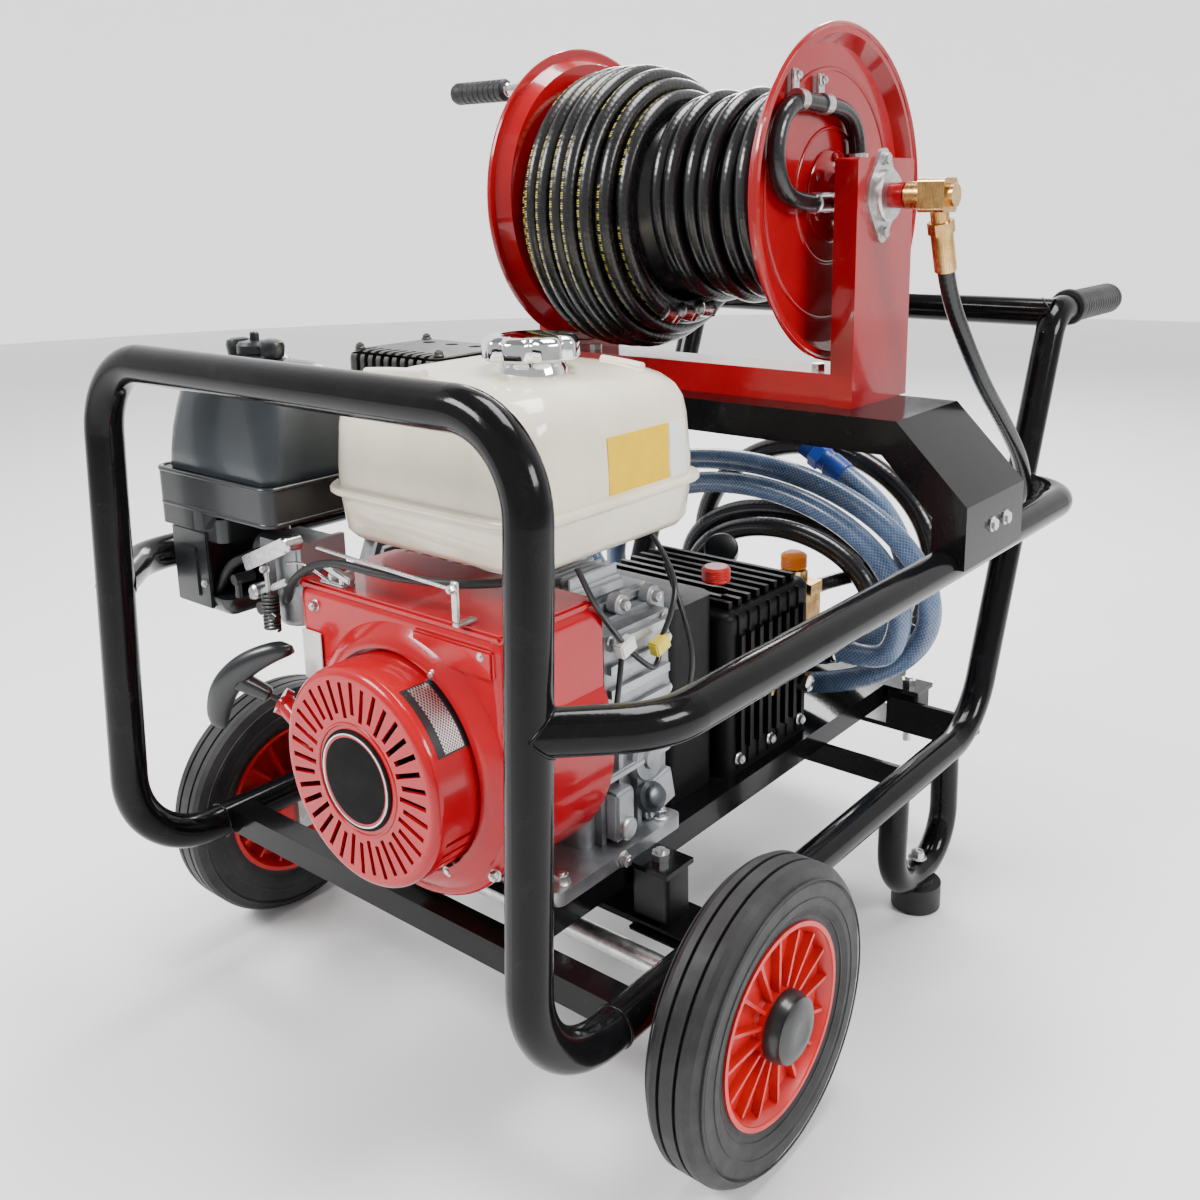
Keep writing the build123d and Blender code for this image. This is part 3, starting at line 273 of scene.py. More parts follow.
def rubber(name, color=(0.009, 0.009, 0.010), rough=0.5, dusty=0.06):
    s = Shader(name)
    dust = s.ramp(s.noise(28, 7), 0, dusty, 0.45, 0.85)
    s.set(Base_Color=s.mix(dust, color, (0.26, 0.25, 0.23)))
    s.set(Roughness=s.range(s.noise(60, 4), rough * 0.8, rough * 1.2), Specular_IOR_Level=0.4)
    s.bump((s.noise(650, 3), 0.3, 0.0003), (s.noise(90, 3), 0.2, 0.0006))
    return s.material


def tyre_rubber():
    """Solid tyre rubber: near-black with patches of grey dust and fine grain; the fine rings on the side wall are
    pieces of their own.
    """
    s = Shader("tyre")
    dust = s.ramp(s.noise(40, 8), 0, 0.20, 0.40, 0.80)
    s.set(Base_Color=s.mix(dust, (0.009, 0.009, 0.010), 0.10))
    s.set(Roughness=s.range(s.noise(75, 5), 0.42, 0.68), Specular_IOR_Level=0.45)
    s.bump((s.noise(1100, 3), 0.35, 0.0003), (s.noise(140, 4), 0.3, 0.0007))
    return s.material


def hose_rubber(name, mark=None, gloss=0.24):
    """Wrapped rubber hose cover; mark is the colour of a broken printed line along it."""
    s = Shader(name)
    along, around = s.uv()
    base = s.ramp(s.noise(30, 5), (0.004, 0.004, 0.0045), (0.010, 0.010, 0.011))
    if mark:
        stripe = s.math("LESS_THAN", s.math("ABSOLUTE", s.math("SUBTRACT", around, 0.06)), 0.046)
        breaks = [s.math("GREATER_THAN", s.wave(along, scale), level)
                  for scale, level in ((2600.0, -0.15), (620.0, -0.55), (31.0, -0.75))]
        ink = s.product(*breaks, stripe, s.ramp(s.noise(300, 4), 0.45, 1))
        base = s.mix(ink, base, mark)
    s.set(Base_Color=base, Roughness=s.range(s.noise(50, 5), gloss * 0.8, gloss * 1.5))
    s.set(Specular_IOR_Level=0.55)
    wrap = s.math("SINE", s.math("ADD", s.product(along, 900.0), s.product(around, 12.566)))
    s.bump((wrap, 0.18, 0.0002), (s.noise(500, 3), 0.2, 0.0003))
    return s.material


def braided_hose():
    """Clear-skinned hose over a diamond braid on a blue core."""
    s = Shader("blue_braided_hose")
    along, around = s.uv()
    braid = s.weave(s.product(along, 6.2832 * 105), s.product(around, 6.2832 * 9))
    thread = s.math("GREATER_THAN", braid, 0.93)
    core = s.ramp(s.noise(24, 4), (0.030, 0.058, 0.125), (0.065, 0.11, 0.21))
    s.set(Base_Color=s.mix(s.product(thread, 0.5), core, (0.26, 0.34, 0.47)))
    s.set(Roughness=s.range(s.noise(60, 4), 0.20, 0.34), Coat_Weight=0.35, Coat_Roughness=0.12)
    s.bump((braid, 0.3, 0.0004))
    return s.material


def label(name, color):
    """Blank printed film."""
    s = Shader(name)
    s.set(Base_Color=s.ramp(s.noise(60, 4), tint(color, 0.93), tint(color, 1.03)))
    s.set(Roughness=s.range(s.noise(90, 3), 0.45, 0.6), Specular_IOR_Level=0.2)
    s.bump((s.noise(220, 2), 0.06, 0.0002))
    return s.material


def wire_mesh_on_painted_shade():
    """Silver woven wire over painted shade: the opening behind the wire is painted near-black."""
    s = Shader("wire_mesh_on_painted_shade")
    x, y, z = s.xyz()
    threads = s.weave(s.product(y, 1100.0), s.product(z, 1100.0))
    wire = s.math("GREATER_THAN", threads, 0.88)
    # The colour between the wires is painted shade: near-black stands in for the dark opening behind the mesh.
    s.set(Base_Color=s.mix(wire, 0.01, (0.65, 0.65, 0.66)), Metallic=wire)
    s.set(Roughness=s.range(s.noise(300, 3), 0.25, 0.45))
    s.bump((threads, 0.5, 0.0005))
    return s.material


def make_materials():
    black = (0.004, 0.004, 0.0045)
    red = (0.30, 0.0025, 0.006)
    return {
        "black": painted("black_powder_coat", black, 0.13, 0.14, 0.22, (0.04, 0.04, 0.04), 0.11),
        "red": painted("red_gloss_paint", red, 0.17, 0.7, 0.20, (0.30, 0.05, 0.05)),
        "engine_red": painted("engine_red_paint", (0.43, 0.0015, 0.008), 0.20, 0.4, 0.30, (0.32, 0.04, 0.04)),
        "cream": painted("cream_tank_paint", (0.78, 0.72, 0.57), 0.20, 0.8, 0.12, (0.55, 0.50, 0.42)),
        "zinc": zinc("zinc_plate"),
        "steel": zinc("bright_steel", (0.66, 0.66, 0.67), 0.20),
        "dark_steel": cast("dark_steel", (0.055, 0.054, 0.053), 0.42, 0.8, 0.25),
        "alloy": cast("cast_alloy", (0.36, 0.37, 0.385), 0.46),
        "black_alloy": cast("black_casting", (0.004, 0.0035, 0.0035), 0.4, 0.0, 0.3, 0.14),
        "chrome": chrome(),
        "brass": brass(),
        "black_plastic": plastic("black_plastic", (0.006, 0.007, 0.008), 0.33, 700, 0.2, 0.2),
        "badge": plastic("badge_film", (0.003, 0.003, 0.003), 0.75, sheen=0.15),
        "grey_plastic": plastic("dark_grey_plastic", (0.020, 0.026, 0.032), 0.34, 700, 0.2, 0.3),
        "red_plastic": plastic("red_plastic", (0.48, 0.004, 0.004), 0.36, 900, 0.15, 0.2),
        "orange": plastic("orange_plastic", (0.70, 0.17, 0.01)),
        "blue": plastic("blue_plastic", (0.012, 0.045, 0.26)),
        "white_plastic": plastic("white_plastic", (0.62, 0.62, 0.60), 0.4),
        "yellow_plastic": plastic("yellow_plastic", (0.62, 0.42, 0.03), 0.4),
        "rubber": rubber("black_rubber"),
        "tyre": tyre_rubber(),
        "hose": hose_rubber("black_hose", None, 0.20),
        "marked_hose": hose_rubber("marked_black_hose", (0.62, 0.53, 0.10)),
        "braid": braided_hose(),
        "yellow_label": label("yellow_label", (0.80, 0.50, 0.0)),
        "white_label": label("white_label", (0.80, 0.80, 0.78)),
        "mesh": wire_mesh_on_painted_shade(),
        "rope": rubber("starter_rope", (0.05, 0.05, 0.05), 0.8, 0.1),
    }


# ---- mesh helpers
LOOKS = {}
SLOTS = {
    "zinc": "zinc", "steel": "zinc", "mesh": "zinc", "black_plastic": "black_plastic",
    "grey_plastic": "black_plastic", "engine_red": "red_paint", "red": "red_paint", "badge": "red_paint",
    "hose": "hose_rubber", "marked_hose": "hose_rubber", "braid": "blue_hose", "cream": "cream_paint",
    "black": "black_paint", "black_alloy": "black_alloy", "alloy": "engine_alloy", "brass": "brass",
    "dark_steel": "dark_steel", "red_plastic": "red_plastic", "orange": "orange_plastic",
    "rubber": "grip_rubber", "tyre": "tyre", "blue": "blue_plastic",
}


def add_mesh(name, mesh, look, body="frame", slot=None, smooth=35.0):
    """Link a mesh as a piece that rides on a body, if given; the colour slot is worked out from its look unless
    given, but not used.
    """
    piece = new_object(name, mesh)
    mesh.materials.clear()
    mesh.materials.append(LOOKS[look])
    mesh.shade_smooth()
    mesh.set_sharp_from_angle(angle=math.radians(smooth))
    if body:
        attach(piece, body)
    slot = slot or SLOTS.get(look)
    return piece


def soften(piece, width):
    """Round a piece's hard edges."""
    bevel = piece.modifiers.new("soft_edges", "BEVEL")
    bevel.width = width
    bevel.segments = 2
    bevel.limit_method = "ANGLE"
    bevel.angle_limit = math.radians(40)
    bevel.harden_normals = True
    bevel.use_clamp_overlap = True


def skin_into(bm, rings):
    """Add a closed skin over rings of equal point count, capped at both ends; its side faces come back."""
    loops = [[bm.verts.new(point) for point in ring] for ring in rings]
    faces = []
    for lower, upper in zip(loops, loops[1:]):
        for k in range(len(lower)):
            j = (k + 1) % len(lower)
            faces.append(bm.faces.new((lower[k], lower[j], upper[j], upper[k])))
    bm.faces.new(loops[0][::-1])
    bm.faces.new(loops[-1])
    return faces


def rounded_ring(cx, cy, z, half_x, half_y, radius, per_corner=7):
    """Points of a rounded rectangle at one height, in machine millimetres."""
    radius = min(radius, half_x, half_y)
    ring = []
    for quarter, (sx, sy) in enumerate(((1, 1), (-1, 1), (-1, -1), (1, -1))):
        for k in range(per_corner):
            a = math.pi / 2 * (quarter + k / (per_corner - 1))
            x = cx + sx * (half_x - radius) + radius * math.cos(a)
            y = cy + sy * (half_y - radius) + radius * math.sin(a)
            ring.append(at(x, y, z))
    return ring


def loft(name, rings, look, body="frame", slot=None, smooth=32.0):
    return piece_from(name, lambda bm: skin_into(bm, rings), look, body, slot, smooth)


def frame_of(direction):
    """Two unit vectors square to a direction."""
    direction = Vector(direction).normalized()
    helper = Vector(UP) if abs(direction.z) < 0.9 else Vector(REAR)
    side = direction.cross(helper).normalized()
    return side, direction.cross(side).normalized()


def lathe_into(bm, profile, origin, axis, steps=32):
    """Add a body of revolution: profile is (along, radius) in millimetres from a machine origin."""
    axis = Vector(axis).normalized()
    side, other = frame_of(axis)
    base = at(*origin)
    spokes = [side * c + other * s for c, s in around(steps)]
    skin_into(bm, [[base + (axis * along + s * max(r, 0.01)) / 1000 for s in spokes] for along, r in profile])


def piece_from(name, build, look, body="frame", slot=None, smooth=35.0):
    """A piece whose mesh is filled in by build(bm)."""
    bm = bmesh.new()
    build(bm)
    bmesh.ops.recalc_face_normals(bm, faces=bm.faces)
    mesh = bpy.data.meshes.new(name)
    bm.to_mesh(mesh)
    bm.free()
    return add_mesh(name, mesh, look, body, slot, smooth)


def details(name, look, blocks=(), hexes=(), turned=(), tubes=(), **options):
    """One piece of several chamfered blocks, hexagon heads, turned shapes and swept tubes."""
    def build(bm):
        for add, shapes in ((block_into, blocks), (hex_into, hexes), (lathe_into, turned), (tube_into, tubes)):
            for shape in shapes:
                add(bm, *shape)
    return piece_from(name, build, look, **options)


def lathe(name, profile, origin, axis, look, body="frame", slot=None, steps=48, smooth=32.0):
    return piece_from(name, lambda bm: lathe_into(bm, profile, origin, axis, steps), look, body, slot, smooth)


def circle(centre, radius, normal, steps=96):
    """Closed circle of points round a machine point, square to the X or the Y axis."""
    x, y, z = centre
    turn = around(steps, True)
    if normal == "X":
        return [at(x, y + radius * c, z + radius * s) for c, s in turn]
    return [at(x + radius * c, y, z + radius * s) for c, s in turn]


def block_into(bm, x0, x1, y0, y1, z0, z1, trim=1.2, turn=None):
    """Add a block with chamfered edges, optionally turned by (angle in degrees, axis) on its centre."""
    centre = at((x0 + x1) / 2, (y0 + y1) / 2, (z0 + z1) / 2)
    size = Vector((x1 - x0, y1 - y0, z1 - z0)) / 1000
    matrix = Matrix.Translation(centre)
    if turn:
        matrix = matrix @ Matrix.Rotation(math.radians(turn[0]), 4, Vector(turn[1]))
    new = bmesh.ops.create_cube(bm, size=1.0, matrix=matrix @ Matrix.Diagonal((*size, 1)))
    edges = list({e for v in new["verts"] for e in v.link_edges})
    width = min(trim / 1000, min(size) * 0.3)
    bmesh.ops.bevel(bm, geom=edges, offset=width, segments=2, affect="EDGES", clamp_overlap=True)


def hex_into(bm, origin, axis, size, head):
    """Add a hexagon head with a round flange and a chamfered crown."""
    lathe_into(bm, [(0, size * 1.3), (1.0, size * 1.3), (1.8, size * 1.1)], origin, axis, 24)
    lathe_into(bm, [(1.6, size), (head, size), (head + 0.9, size * 0.82)], origin, axis, 6)
    lathe_into(bm, [(head, size * 0.5), (head + 1.6, size * 0.5), (head + 2.0, size * 0.42)], origin, axis, 16)


def spline_points(points):
    """The smooth line through a route: a NURBS spline with the route's points as control points."""
    curve = bpy.data.curves.new("route", "CURVE")
    curve.dimensions = "3D"
    curve.resolution_u = 6
    spline = curve.splines.new("NURBS")
    spline.points.add(len(points) - 1)
    for target, point in zip(spline.points, points):
        target.co = (*point, 1)
    spline.order_u = 3
    spline.use_endpoint_u = True
    carrier = new_object("route", curve)
    bpy.context.view_layer.update()
    mesh = bpy.data.meshes.new_from_object(carrier.evaluated_get(bpy.context.evaluated_depsgraph_get()))
    line = [v.co.copy() for v in mesh.vertices]
    bpy.data.objects.remove(carrier)
    bpy.data.curves.remove(curve)
    bpy.data.meshes.remove(mesh)
    return line


def tube_into(bm, line, radius, sides=18, start_side=None):
    """Sweep a circle along a line. UV: metres along, turns around from the start side."""
    layer = bm.loops.layers.uv.verify()
    side = Vector(start_side) if start_side else frame_of(line[1] - line[0])[0]
    rings, lengths = [], [0.0]
    for i, point in enumerate(line):
        ahead = line[min(i + 1, len(line) - 1)] - line[max(i - 1, 0)]
        ahead.normalize()
        side = (side - ahead * side.dot(ahead)).normalized()
        other = ahead.cross(side)
        if i:
            lengths.append(lengths[-1] + (point - line[i - 1]).length)
        rings.append([point + (side * c + other * s) * radius for c, s in around(sides)])
    for index, face in enumerate(skin_into(bm, rings)):
        i, k = divmod(index, sides)
        for loop, (u, turn) in zip(face.loops, ((i, k), (i, k + 1), (i + 1, k + 1), (i + 1, k))):
            loop[layer].uv = (lengths[u], turn / sides)
    return lengths[-1]


def route_tube(name, points, radius_mm, look, body="frame", slot=None, sides=18):
    """A hose, wire or rod along a route in machine millimetres: the piece, its length and its line."""
    line = spline_points([at(*p) for p in points])
    lengths = []
    piece = piece_from(
        name, lambda bm: lengths.append(tube_into(bm, line, radius_mm / 1000, sides)), look, body, slot, smooth=50.0,
    )
    return piece, lengths[0], line


# ---- cords
DELIVERY_ROUTE = [
    (268, 609, 712), (268, 620, 681.5), (276, 645, 634), (282, 686, 582), (287, 736, 535), (289, 786, 487),
    (284, 817, 444), (259, 821, 402), (221, 808, 371), (176, 787, 349), (131, 758, 334), (99, 720, 326),
    (88, 688, 324), (88, 660, 324),
]
SUPPLY_LEAD = [(142, 614, 284), (172, 614, 284), (202, 615, 284)]
BYPASS_LEAD = [(52, 656, 286), (52, 684, 286), (28, 702, 262), (0, 704, 236)]


def morph(turn, knots, ovals):
    """The oval a hand-laid coil has reached after some turns, eased from one turn's oval to the next."""
    total = [0.0] * 5
    for shift in (-0.22, -0.15, -0.07, 0.0, 0.07, 0.15, 0.22):
        for i in range(5):
            total[i] += float(np.interp(turn + shift, knots, [oval[i] for oval in ovals])) / 7
    return total


def coil_turns(start, sense, depth, pitch, count, knots, ovals):
    """Route points of a coil, sixteen to a turn: each oval is (x, z, half width, rise above, drop below)."""
    points = []
    for i in range(int(round(count * 16)) + 1):
        turn = i / 16
        angle = math.radians(start) + sense * 2 * math.pi * turn
        x, z, half, above, below = morph(turn, knots, ovals)
        lift = math.sin(angle)
        late = max(0.0, turn - 1.9) / 0.35 * 7.5 if sense > 0 else 0.0
        y = depth + pitch * turn + late
        points.append((x + half * math.cos(angle), y, z + (above if lift > 0 else below) * lift))
    return points


def supply_turns():
    low, wide, small = (30, 333, 205, 122, 121), (10, 330, 258, 146, 118), (80, 378, 115, 98, 90)
    return coil_turns(-19, 1, 617, 26.0, 2.25, [0.75, 1.15, 1.75, 2.1], [low, wide, wide, small])


def bypass_turns():
    inner, middle, outer = (20, 296, 128, 84, 84), (10, 304, 145, 92, 92), (35, 345, 163, 133, 133)
    return coil_turns(248, -1, 703.5, 26.5, 2.75, [0.8, 1.1, 1.8, 2.2], [inner, middle, middle, outer])


def make_cords():
    hose, length, line = route_tube("delivery_hose_line", DELIVERY_ROUTE, HOSE_R, "hose")
    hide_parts("delivery_hose")
    for name, route, look, end_look in (
        ("supply", SUPPLY_LEAD + supply_turns(), "braid", "blue"),
        ("bypass", BYPASS_LEAD + bypass_turns(), "hose", "steel"),
    ):
        piece, length, line = route_tube(name + "_hose_line", route, LOW_HOSE_R, look, sides=22)
        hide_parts(name + "_hose_lead", name + "_hose_coil")
        ahead = (line[-1] - line[-3]).normalized()
        origin = (line[-1] - SHIFT) * 1000
        fitting = piece_from(
            name + "_coupling", lambda bm: coupling_into(bm, origin, ahead), end_look, slot="blue_plastic", smooth=30,
        )
        if name == "supply":
            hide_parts("hose_couplings")


def coupling_into(bm, origin, axis):
    """Hose tail, hexagon and threaded nose of a screwed coupling."""
    lathe_into(bm, [(-10, 12.6), (-10, 14.6), (4, 15.0), (12, 15.0), (14, 13.5), (24, 13.5)], origin, axis, 32)
    lathe_into(bm, [(22, 15.5), (23, 16.5), (35, 16.5), (36, 15.5)], origin, axis, 6)
    thread = [(36, 12.5)]
    for i in range(6):
        thread += [(37 + 2.4 * i, 12.0), (38.2 + 2.4 * i, 13.2)]
    lathe_into(bm, thread + [(51, 11.5)], origin, axis, 32)


# ---- reel
def make_reel():
    # Right part: one open layer of glossy turns. Left part: a sagging pile, two layers deep.
    web = 146.0
    turns = []
    for i, x in enumerate(np.linspace(8, web - 11, 7)):
        turns.append((x, 98.5 + (3.0 if i % 2 else -2.0), 0.0, 0.0, "hose"))
    for x in np.linspace(14, web - 12, 7):
        turns.append((x + 6, 83.0, 0.0, 0.0, "hose"))
    for x, r in (
        (-136, 127), (-119.5, 142), (-102, 144.8), (-84.5, 145.0), (-67, 144.5),
        (-49.5, 139), (-33, 128.5), (-18.5, 116),
    ):
        turns.append((x, r, -4.0, -12.0, "marked_hose"))
    for x in np.linspace(-132, -20, 8):
        turns.append((x, 122.0 - 0.004 * (x + 80) ** 2, -4.0, -11.0, "marked_hose"))
    groups = {"hose": [], "marked_hose": []}
    for x, r, back, sag, look in turns:
        tilt = random.uniform(-2.6, 2.6)
        phase = random.uniform(0, 6.28)
        line = []
        for k in range(73):
            a = 2 * math.pi * k / 72
            sway = tilt * math.sin(a + phase)
            line.append(at(x + sway, REEL[1] + back + r * math.cos(a), REEL[2] + sag + r * math.sin(a)))
        groups[look].append(line)
    for look, lines in groups.items():
        tubes = [(line, HOSE_R / 1000, 16, REAR) for line in lines]
        piece = details("wound_" + look, look, tubes=tubes, body="reel", smooth=50)
        if look == "hose":
            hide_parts("wound_hose")
    core = [(-145.5, 60), (-145.5, 100), (-60, 112), (-20, 100), (6, 78), (145.5, 78), (145.5, 60)]
    lathe("wound_hose_core", core, (0, REEL[1] - 3, REEL[2] - 6), RIGHT, "hose", "reel")

    # Steel hose ends tucked into the pile.
    def ends(bm):
        for k, (x, a) in enumerate(((-14, -112), (-4, -104), (9, -96))):
            r = 122 - 6 * k
            c, s = math.cos(math.radians(a)), math.sin(math.radians(a))
            origin, axis = (x, REEL[1] - 4 + r * c, REEL[2] - 8 + r * s), (0.25, -s, c)
            lathe_into(bm, [(-8, 8.0), (-7, 9.6), (4, 9.6), (5, 8.0)], origin, axis, 28)
            lathe_into(bm, [(5, 9.0), (6, 10.0), (11, 10.0), (12, 9.0)], origin, axis, 6)
    piece_from("wound_hose_ends", ends, "steel", "reel")

    # Link hose on the right disc with its fittings and pipe clips.
    step, front, x = 39.0, 466.0, 163.0
    diag = step * 0.7071
    top = 770.0 + step + 2 * diag
    route = [
        (x, front + diag + 56, 770.0), (x, front + diag, 770.0), (x, front, 770.0 + diag), (x, front, top - diag),
        (x, front + diag, top), (x, 548.0, top - 1.5), (x, 597.0, top - 5.0), (x, 622.0, top - 30.0),
        (x, 622.0, top - 62.0),
    ]
    link = route_tube("link_hose_line", route, HOSE_R, "hose", "reel")[0]
    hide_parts("link_hose")

    start, end = route[0], route[-1]
    details(
        "link_hose_fittings", "steel", body="reel",
        turned=[
            ([(-14, 9.0), (-13, 10.4), (12, 10.4), (13, 9.0)], start, REAR, 28),
            ([(13, 9.5), (14, 10.8), (24, 10.8), (25, 9.8)], start, REAR, 6),
            ([(-16, 9.0), (-15, 10.4), (8, 10.4), (9, 9.0)], end, (0, 0, -1), 28),
        ],
        blocks=[
            (151, 174, start[1] + 22, start[1] + 40, 761, 779, 2.5),
            (151, 174, end[1] - 9, end[1] + 9, end[2] - 24, end[2] - 7, 2.5),
        ],
    )
    clips = ((505, top + 0.5), (552, top - 1.5))
    details(
        "link_hose_clips", "zinc", body="reel",
        turned=[([(-6, 8.7), (-6, 10.2), (6, 10.2), (6, 8.7)], (x, y, z), REAR, 28) for y, z in clips],
        hexes=[((160, y, z + 22), RIGHT, 4.5, 4.0) for y, z in clips],
        blocks=[(157, 160, y - 6, y + 6, z + 8, z + 28, 1.0) for y, z in clips],
    )

    # Crank pin and turned handle.
    lathe(
        "crank_pin", [(-6, 5), (-5, 6.4), (44, 6.4), (46, 8.4), (52, 8.4), (53, 6)],
        (-242, REEL[1], REEL[2] + 128), LEFT, "steel", "reel", steps=28,
    )
    grip = [(0, 8), (2, 11.8)]
    for i in range(8):
        grip += [(4 + 9 * i, 13.2), (10 + 9 * i, 13.2), (11 + 9 * i, 12.5), (12 + 9 * i, 12.5)]
    grip += [(78, 13.4), (84, 13.2), (88, 11.5), (89.5, 7)]
    handle = lathe("crank_handle_grip", grip, (-290, REEL[1], REEL[2] + 128), LEFT, "rubber", "crank_grip_body")
    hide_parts("crank_grip")

    flange = [(0, 46), (2, 46), (4, 43), (4, 30), (6, 27), (9, 24)]
    bolt_angles = [math.radians(60 * k + 30) for k in range(6)]
    details(
        "reel_hub_bolts", "red", body="reel",
        turned=[(flange, (side * 152, REEL[1], REEL[2]), (side, 0, 0), 48) for side in (-1, 1)],
        hexes=[
            ((side * 152.5, REEL[1] + 38 * math.cos(a), REEL[2] + 38 * math.sin(a)), (side, 0, 0), 4.6, 5.0)
            for side in (-1, 1) for a in bolt_angles
        ],
    )

    # Pressed rings that stiffen the discs' webs.
    rings = [
        (circle((side * 151.5, *REEL[1:]), r, "X", 64), 0.0022, 10, (side, 0, 0))
        for side in (-1, 1) for r in (66, 122)
    ]
    details("reel_disc_beads", "red", tubes=rings, body="reel", smooth=60)


# ---- engine
def make_tank():
    """Pressed steel tank: drafted pan, crimped seam flange and crowned upper shell."""
    cx, cy, hx, hy = 55.5, 221.5, 125.5, 123.5
    levels = [
        (495.0, 40, 20), (495.6, 26, 26), (499.0, 16, 30), (506.0, 10.5, 33), (537.5, 7.0, 34),
        (538.2, 1.0, 38), (539.5, 0.0, 38), (542.5, 0.0, 38), (544.0, 1.0, 38), (544.6, 7.0, 34),
        (560.0, 7.0, 34), (598.0, 9.0, 35), (612.0, 11.0, 36), (622.0, 15.0, 38), (630.0, 22.0, 40),
        (636.0, 33.0, 40), (640.5, 50.0, 40), (644.0, 72.0, 34), (646.5, 96.0, 24), (647.6, 118.0, 4),
    ]
    rings = [rounded_ring(cx, cy, z, hx - inset, hy - inset, radius, 9) for z, inset, radius in levels]
    tank = loft("fuel_tank_shell", rings, "cream", smooth=40)
    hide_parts("fuel_tank")
    lathe("filler_neck", [(-8, 31), (0, 30), (3, 28), (6, 27.5), (6.5, 25)], (97, 200, 646), UP, "chrome")

    # Raised pressings on the crown, either side of the filler.
    ridges = []
    for x0, x1, y, drop in ((-20, 34, 285, 8.0), (-32, 40, 135, 8.0), (96, 140, 292, 9.5)):
        line = [at(x, y, 647.5 - drop * (0.55 + ((x - 55) / 120) ** 2)) for x in np.linspace(x0, x1, 9)]
        ridges.append((line, 0.0042, 14))
    details("tank_ridges", "cream", tubes=ridges, smooth=60)

    def panel(name, y0, y1, z0, z1, look):
        x = cx + hx
        rings = []
        for k in range(13):
            y = y0 + (y1 - y0) * k / 12
            rings.append([at(x - 8.2, y, z0), at(x - 6.2, y, z0), at(x - 7.8, y, z1), at(x - 10, y, z1)])
        loft(name, rings, look, smooth=20)
    panel("tank_label_left", 204, 284, 547, 594, "yellow_label")
    panel("tank_label_right", 286, 308, 547, 594, "white_label")

    # Chrome cap with eight finger lobes.
    centre = (97, 200, 652.5)
    rings = []
    profile = [(0, 30), (0.5, 38), (3, 40.5), (14, 40.5), (17, 39), (19.5, 35), (20.5, 24), (20.0, 20), (20.0, 1)]
    for height, radius in profile:
        ring = []
        for k in range(96):
            a = 2 * math.pi * k / 96
            lobe = 1.0 if radius < 34 else 1.0 - 0.13 * max(0.0, math.cos(8 * a)) ** 2
            out = radius * lobe
            ring.append(at(centre[0] + out * math.cos(a), centre[1] + out * math.sin(a), centre[2] + height))
        rings.append(ring)
    cap = loft("fuel_cap_shell", rings, "chrome", "fuel_cap_body", "chrome", smooth=38)
    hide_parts("fuel_cap")


def make_air_cleaner():
    cx, cy, hx, hy = -171.0, 121.0, 87.0, 59.0
    levels = [
        (542.5, 8.0, 7.0, 16), (544.0, 6.5, 6.5, 17), (560.0, 7.5, 7.0, 19), (580.0, 10.0, 8.0, 22),
        (600.0, 15.0, 9.0, 26), (615.0, 21.0, 10.0, 28), (626.0, 28.0, 13.0, 28), (634.0, 36.0, 18.0, 26),
        (639.0, 46.0, 26.0, 22), (641.5, 58.0, 38.0, 14), (642.5, 70.0, 52.0, 4),
    ]
    rings = []
    for z, left, right, radius in levels:
        rings.append(rounded_ring(cx + (left - right) / 2, cy, z, hx - (left + right) / 2, hy - right, radius, 8))
    cover = loft("air_cleaner_shell", rings, "grey_plastic", smooth=45)
    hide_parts("air_cleaner_cover")

    lips = [rounded_ring(cx, cy, z, hx - trim, hy - trim, 13, 8) for z, trim in ((541.5, 0.5), (510.0, 0.9))]
    tubes = [(line + line[:1], 0.0022, 10, UP) for line in lips]
    details("air_cleaner_lips", "black_plastic", tubes=tubes, smooth=60)

    boss = [(0, 30), (2, 29), (5, 25), (6, 18)]
    lathe("air_cleaner_boss", boss, (-168, 121, 641), UP, "black_plastic", steps=40, smooth=35)
    intake = [(-252, -196, 70.0, 74, 412, 486, 2.5), (-236, -212, 68.0, 72, 422, 470, 2.0)]
    details("air_cleaner_intake", "black_plastic", intake)

    def knob(bm):
        lathe_into(bm, [(0, 15), (2, 16.5), (9, 16.5), (12, 14), (13, 6)], (-168, 121, 646), UP, 36)
        for side in (-1, 1):
            wing = [(0, 8), (1, 10.5), (10, 11.5), (14, 10), (15.5, 6)]
            lathe_into(bm, wing, (-168 + side * 20, 121 + side * 3, 645), (0.1 * side, 0, 1), 24)
            block_into(bm, -168 + side * 10 - 10, -168 + side * 10 + 10, 115, 127, 646, 657, 3.0)
        lathe_into(bm, [(0, 4.2), (7, 4.2), (8, 3.4)], (-168, 121, 658.5), UP, 18)
    piece = piece_from("air_cleaner_wing_knob", knob, "black_plastic", "air_knob_body")
    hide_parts("air_cleaner_knob")


def crank(y, radius=0, angle=0):
    """A machine point round the crankshaft's axis; the angle is in radians, from the right upwards."""
    return (CRANK[0] + radius * math.cos(angle), y, CRANK[2] + radius * math.sin(angle))


